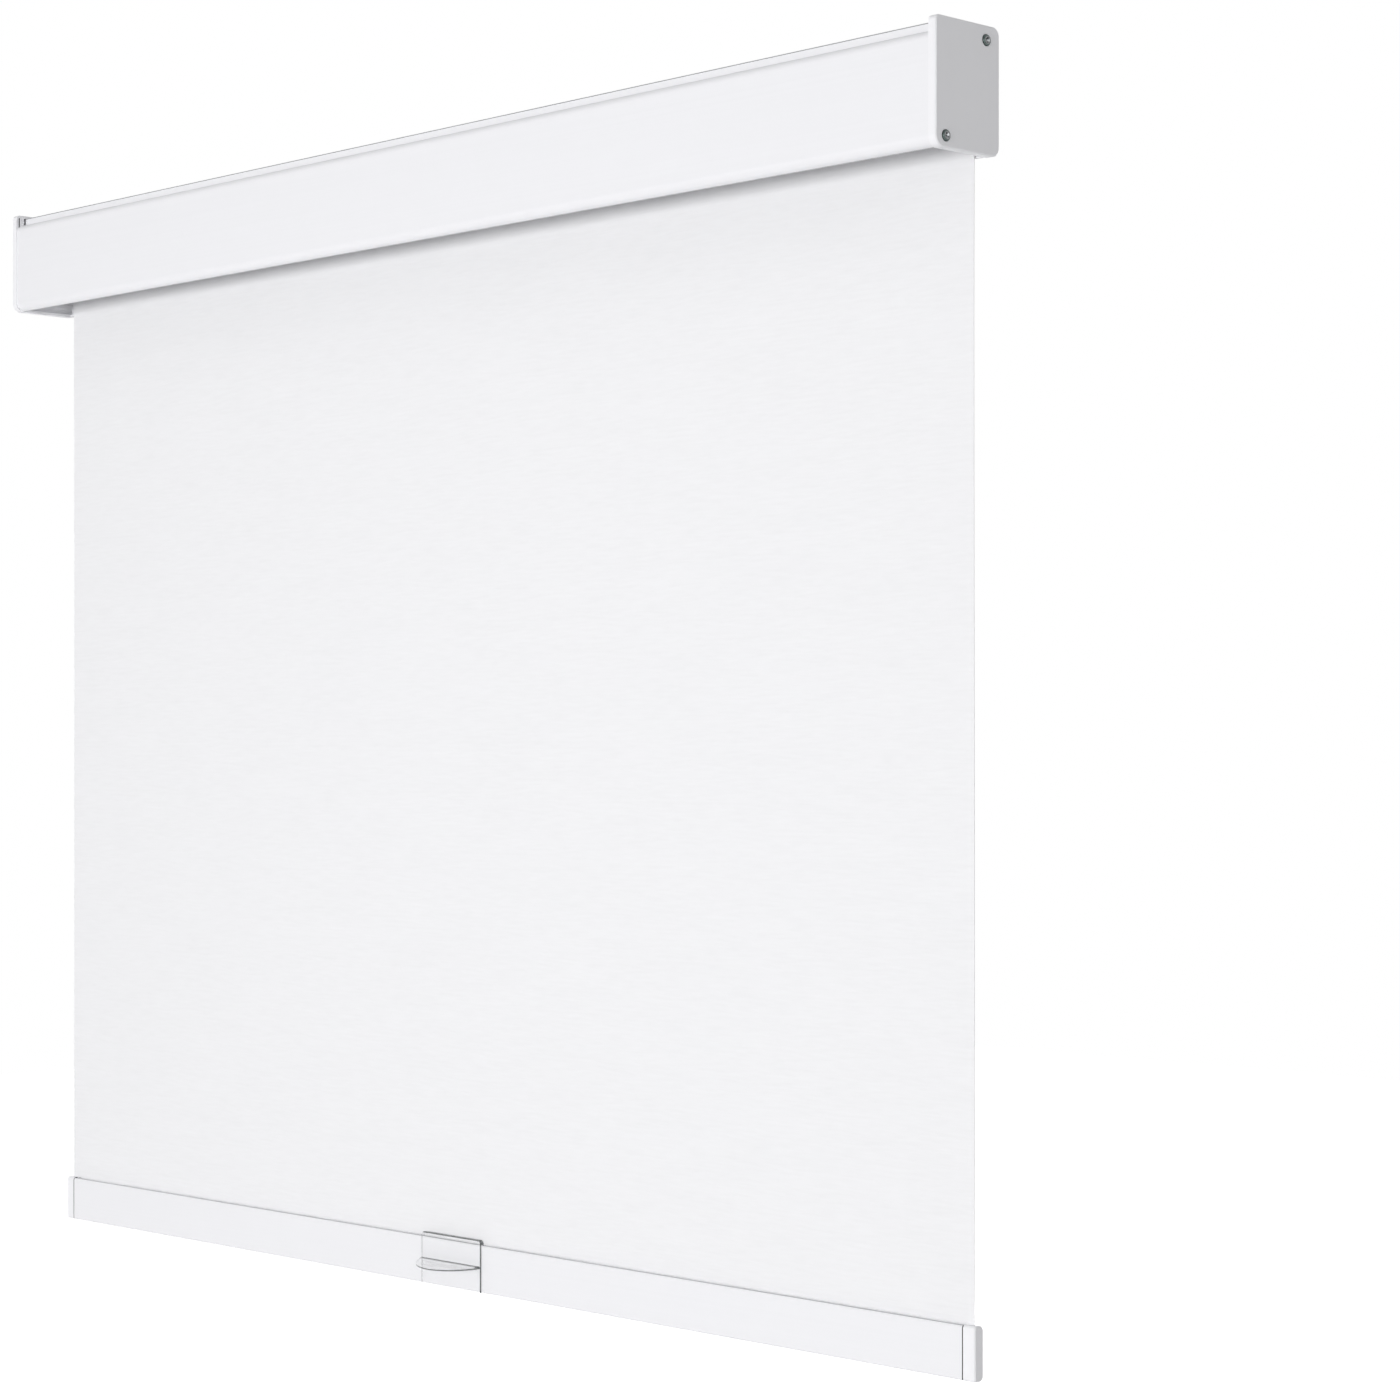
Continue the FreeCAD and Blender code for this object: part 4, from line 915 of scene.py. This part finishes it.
class SHADE_OT_bottom_rail(Operator):
    """Round the edges of the bottom rail and its ends, and paint shade into the seams between them"""

    bl_idname = "roller_shade.bottom_rail"
    bl_label = "Bottom rail"

    def execute(self, context):
        edge = context.scene.shade_sizes.edge
        near_end = RAIL_HIGH.x - SHADED_END
        cuts = [((side * near_end, 0, 0), (1, 0, 0)) for side in (-1, 1)]
        rail = refined(context, "bottom_rail", "weighted_rail", edge, convex=True, cuts=cuts)
        # The rail's top is painted grey as shade, a dark line where the cloth goes in
        top = RAIL_HIGH.z - edge
        bare_and_shaded_faces(context, rail, lambda face: face.normal.z > 0.5 and face.center.z > top)
        # The rail beside each seam is painted dark as the seam's shade
        rail.data.materials.append(finishes(context)["painted_seam_shade"])
        for face in rail.data.polygons:
            if abs(face.center.x) > near_end:
                face.material_index = 2
        for side in ("left", "right"):
            end = refined(context, f"rail_cap_{side}", f"rail_end_{side}", edge, convex=True)
            self.paint_seam_shade(context, end)
        return {"FINISHED"}

    def paint_seam_shade(self, context, end):
        """Paint the tongue of a rail end dark as the seam's shade, from the floor of its seam inwards."""
        end.data.materials.append(finishes(context)["painted_seam_shade"])
        seam = RAIL_HIGH.x + RAIL_SEAM
        for face in end.data.polygons:
            inside = all(abs(end.data.vertices[i].co.x) < seam + MERGE for i in face.vertices)
            face.material_index = 1 if inside else 0


class SHADE_OT_pull(Operator):
    """Round and polish the clear pull"""

    bl_idname = "roller_shade.pull"
    bl_label = "Pull"

    def execute(self, context):
        tones = context.scene.shade_colours
        edge = PULL_ROUNDING * context.scene.shade_sizes.edge
        pull = refined(context, "pull_handle", "clear_pull", edge)
        # The pull's edges and the root of its grip take painted shade
        pull.data.materials.append(polycarbonate_edge(tones.rim))
        pull.data.materials.append(polycarbonate_grip(tones.rim))
        for face in pull.data.polygons:
            face.material_index = self.part_of(face)
        for vertex in pull.data.vertices:
            self.open_gap(vertex.co)
        return {"FINISHED"}

    def part_of(self, face):
        """Which material a face takes: 0 the plate and the grip's underside, 1 an edge, painted dark as shade, 2
        the grip's top, with painted shade at its root.
        """
        if face.center.y < RAIL_LOW.y - PULL_WALL - MERGE:
            if abs(face.normal.z) < 0.3:
                return 1
            return 2 if face.normal.z > 0 else 0
        if abs(face.normal.x) > 0.3:
            return 1
        return 1 if face.normal.z > 0.5 and face.center.z > RAIL_HIGH.z + MERGE else 0

    def open_gap(self, point):
        """Move a point that lies on the rail's front, on its top or on the back of its lip off it."""
        if abs(point.y - RAIL_LOW.y) < MERGE:
            point.y -= AIR_GAP
        if abs(point.y - RAIL_LOW.y - RAIL_LIP) < MERGE:
            point.y += AIR_GAP
        if abs(point.z - RAIL_HIGH.z) < MERGE:
            point.z += AIR_GAP


class SHADE_OT_stage(Operator):
    """Set the floor, the lamps, the white background and the camera"""

    bl_idname = "roller_shade.stage"
    bl_label = "Stage"

    def execute(self, context):
        stage = context.scene.shade_stage
        self.camera(context)
        self.world(context, stage.ambient)
        self.floor(stage.floor)
        middle = (CAD_BOX[0] + CAD_BOX[1]) / 2
        for name, setting, place, size in LAMPS:
            self.lamp(context, name, place, middle, size, getattr(stage, setting))
        context.scene.view_settings.view_transform = "Standard"
        return {"FINISHED"}

    def camera(self, context):
        """The camera, level with the shade and turned to its right-hand end."""
        data = bpy.data.cameras.new("camera")
        camera = bpy.data.objects.new("camera", data)
        context.scene.collection.objects.link(camera)
        camera.location = CAMERA_PLACE
        camera.rotation_euler = (math.pi / 2, 0, CAMERA_TURN)
        data.sensor_width = SENSOR
        data.lens = LENS
        data.shift_y = CAMERA_SHIFT
        context.scene.camera = camera

    def seen(self, tree):
        """1 for rays that see the background itself, straight or in a reflection or through plastic."""
        path = add_node(tree, "ShaderNodeLightPath")
        mirrored = add_node(tree, "ShaderNodeMath", {"operation": "MAXIMUM"},
                            {0: path.outputs["Is Glossy Ray"], 1: path.outputs["Is Transmission Ray"]})
        return add_node(tree, "ShaderNodeMath", {"operation": "MAXIMUM"},
                        {0: path.outputs["Is Camera Ray"], 1: mirrored.outputs[0]}).outputs[0]

    def world(self, context, ambient):
        """White where it is seen, and a plain even light on the shade."""
        world = bpy.data.worlds.new("plain_white")
        world.use_nodes = True
        tree = world.node_tree
        tree.nodes.clear()
        strength = add_node(tree, "ShaderNodeMapRange", {"To Min": ambient, "To Max": 1.0},
                            {"Value": self.seen(tree)})
        background = add_node(tree, "ShaderNodeBackground", {"Color": WHITE},
                              {"Strength": strength.outputs["Result"]})
        add_node(tree, "ShaderNodeOutputWorld", links={"Surface": background.outputs["Background"]})
        context.scene.world = world

    def floor(self, height):
        """A floor that is white where it is seen, lights the shade as pale grey, and is clear from below."""
        bpy.ops.object.select_all(action="DESELECT")
        bpy.ops.mesh.primitive_plane_add(size=FLOOR_SIZE, location=(0, 0, height))
        floor = bpy.context.object
        floor.name = "floor"
        material = bpy.data.materials.new("pale_floor")
        material.use_nodes = True
        tree = material.node_tree
        tree.nodes.clear()
        diffuse = add_node(tree, "ShaderNodeBsdfDiffuse", {"Color": FLOOR_GREY})
        glow = add_node(tree, "ShaderNodeEmission", {"Color": WHITE}, {"Strength": self.seen(tree)})
        both = add_node(tree, "ShaderNodeAddShader", links={0: diffuse.outputs[0], 1: glow.outputs[0]})
        below = add_node(tree, "ShaderNodeNewGeometry")
        clear = add_node(tree, "ShaderNodeBsdfTransparent")
        side = add_node(tree, "ShaderNodeMixShader",
                        links={0: below.outputs["Backfacing"], 1: both.outputs[0], 2: clear.outputs[0]})
        add_node(tree, "ShaderNodeOutputMaterial", links={"Surface": side.outputs[0]})
        floor.data.materials.append(material)

    def lamp(self, context, name, place, target, size, power):
        """A soft lamp, wide and high as given, that faces the shade and isn't seen itself."""
        data = bpy.data.lights.new(name, "AREA")
        data.shape = "RECTANGLE"
        data.size, data.size_y = size
        data.energy = power
        lamp = bpy.data.objects.new(name, data)
        context.scene.collection.objects.link(lamp)
        lamp.location = place
        lamp.rotation_euler = (target - Vector(place)).to_track_quat("-Z", "Y").to_euler()
        lamp.visible_camera = False
        lamp.visible_transmission = False


class SHADE_PT_panel(Panel):
    """The shade's steps, sizes and colours"""

    bl_idname = "SHADE_PT_panel"
    bl_label = "Roller shade"
    bl_space_type = "VIEW_3D"
    bl_region_type = "UI"
    bl_category = "Roller shade"

    def draw(self, context):
        column = self.layout.column(align=True)
        for operator in OPERATORS:
            column.operator(operator.bl_idname)
        for group in (context.scene.shade_sizes, context.scene.shade_colours, context.scene.shade_stage):
            box = self.layout.box()
            for name in group.bl_rna.properties.keys():
                if name not in ("rna_type", "name"):
                    box.prop(group, name)


GROUPS = {"shade_sizes": ShadeSizes, "shade_colours": ShadeColours, "shade_stage": ShadeStage}
OPERATORS = (
    SHADE_OT_finishes, SHADE_OT_cassette, SHADE_OT_end_caps, SHADE_OT_cap_screws, SHADE_OT_fixings,
    SHADE_OT_idle_spring, SHADE_OT_hanging_cloth, SHADE_OT_wound_cloth, SHADE_OT_cloth_hem,
    SHADE_OT_bottom_rail, SHADE_OT_pull, SHADE_OT_stage,
)


def register():
    for kind in (*GROUPS.values(), *OPERATORS, SHADE_PT_panel):
        bpy.utils.register_class(kind)
    for name, group in GROUPS.items():
        setattr(bpy.types.Scene, name, PointerProperty(type=group))


def unregister():
    for name in GROUPS:
        delattr(bpy.types.Scene, name)
    for kind in (SHADE_PT_panel, *OPERATORS, *GROUPS.values()):
        bpy.utils.unregister_class(kind)


def main():
    register()
    for operator in OPERATORS:
        family, step = operator.bl_idname.split(".")
        getattr(getattr(bpy.ops, family), step)()


if __name__ == "__main__":
    main()
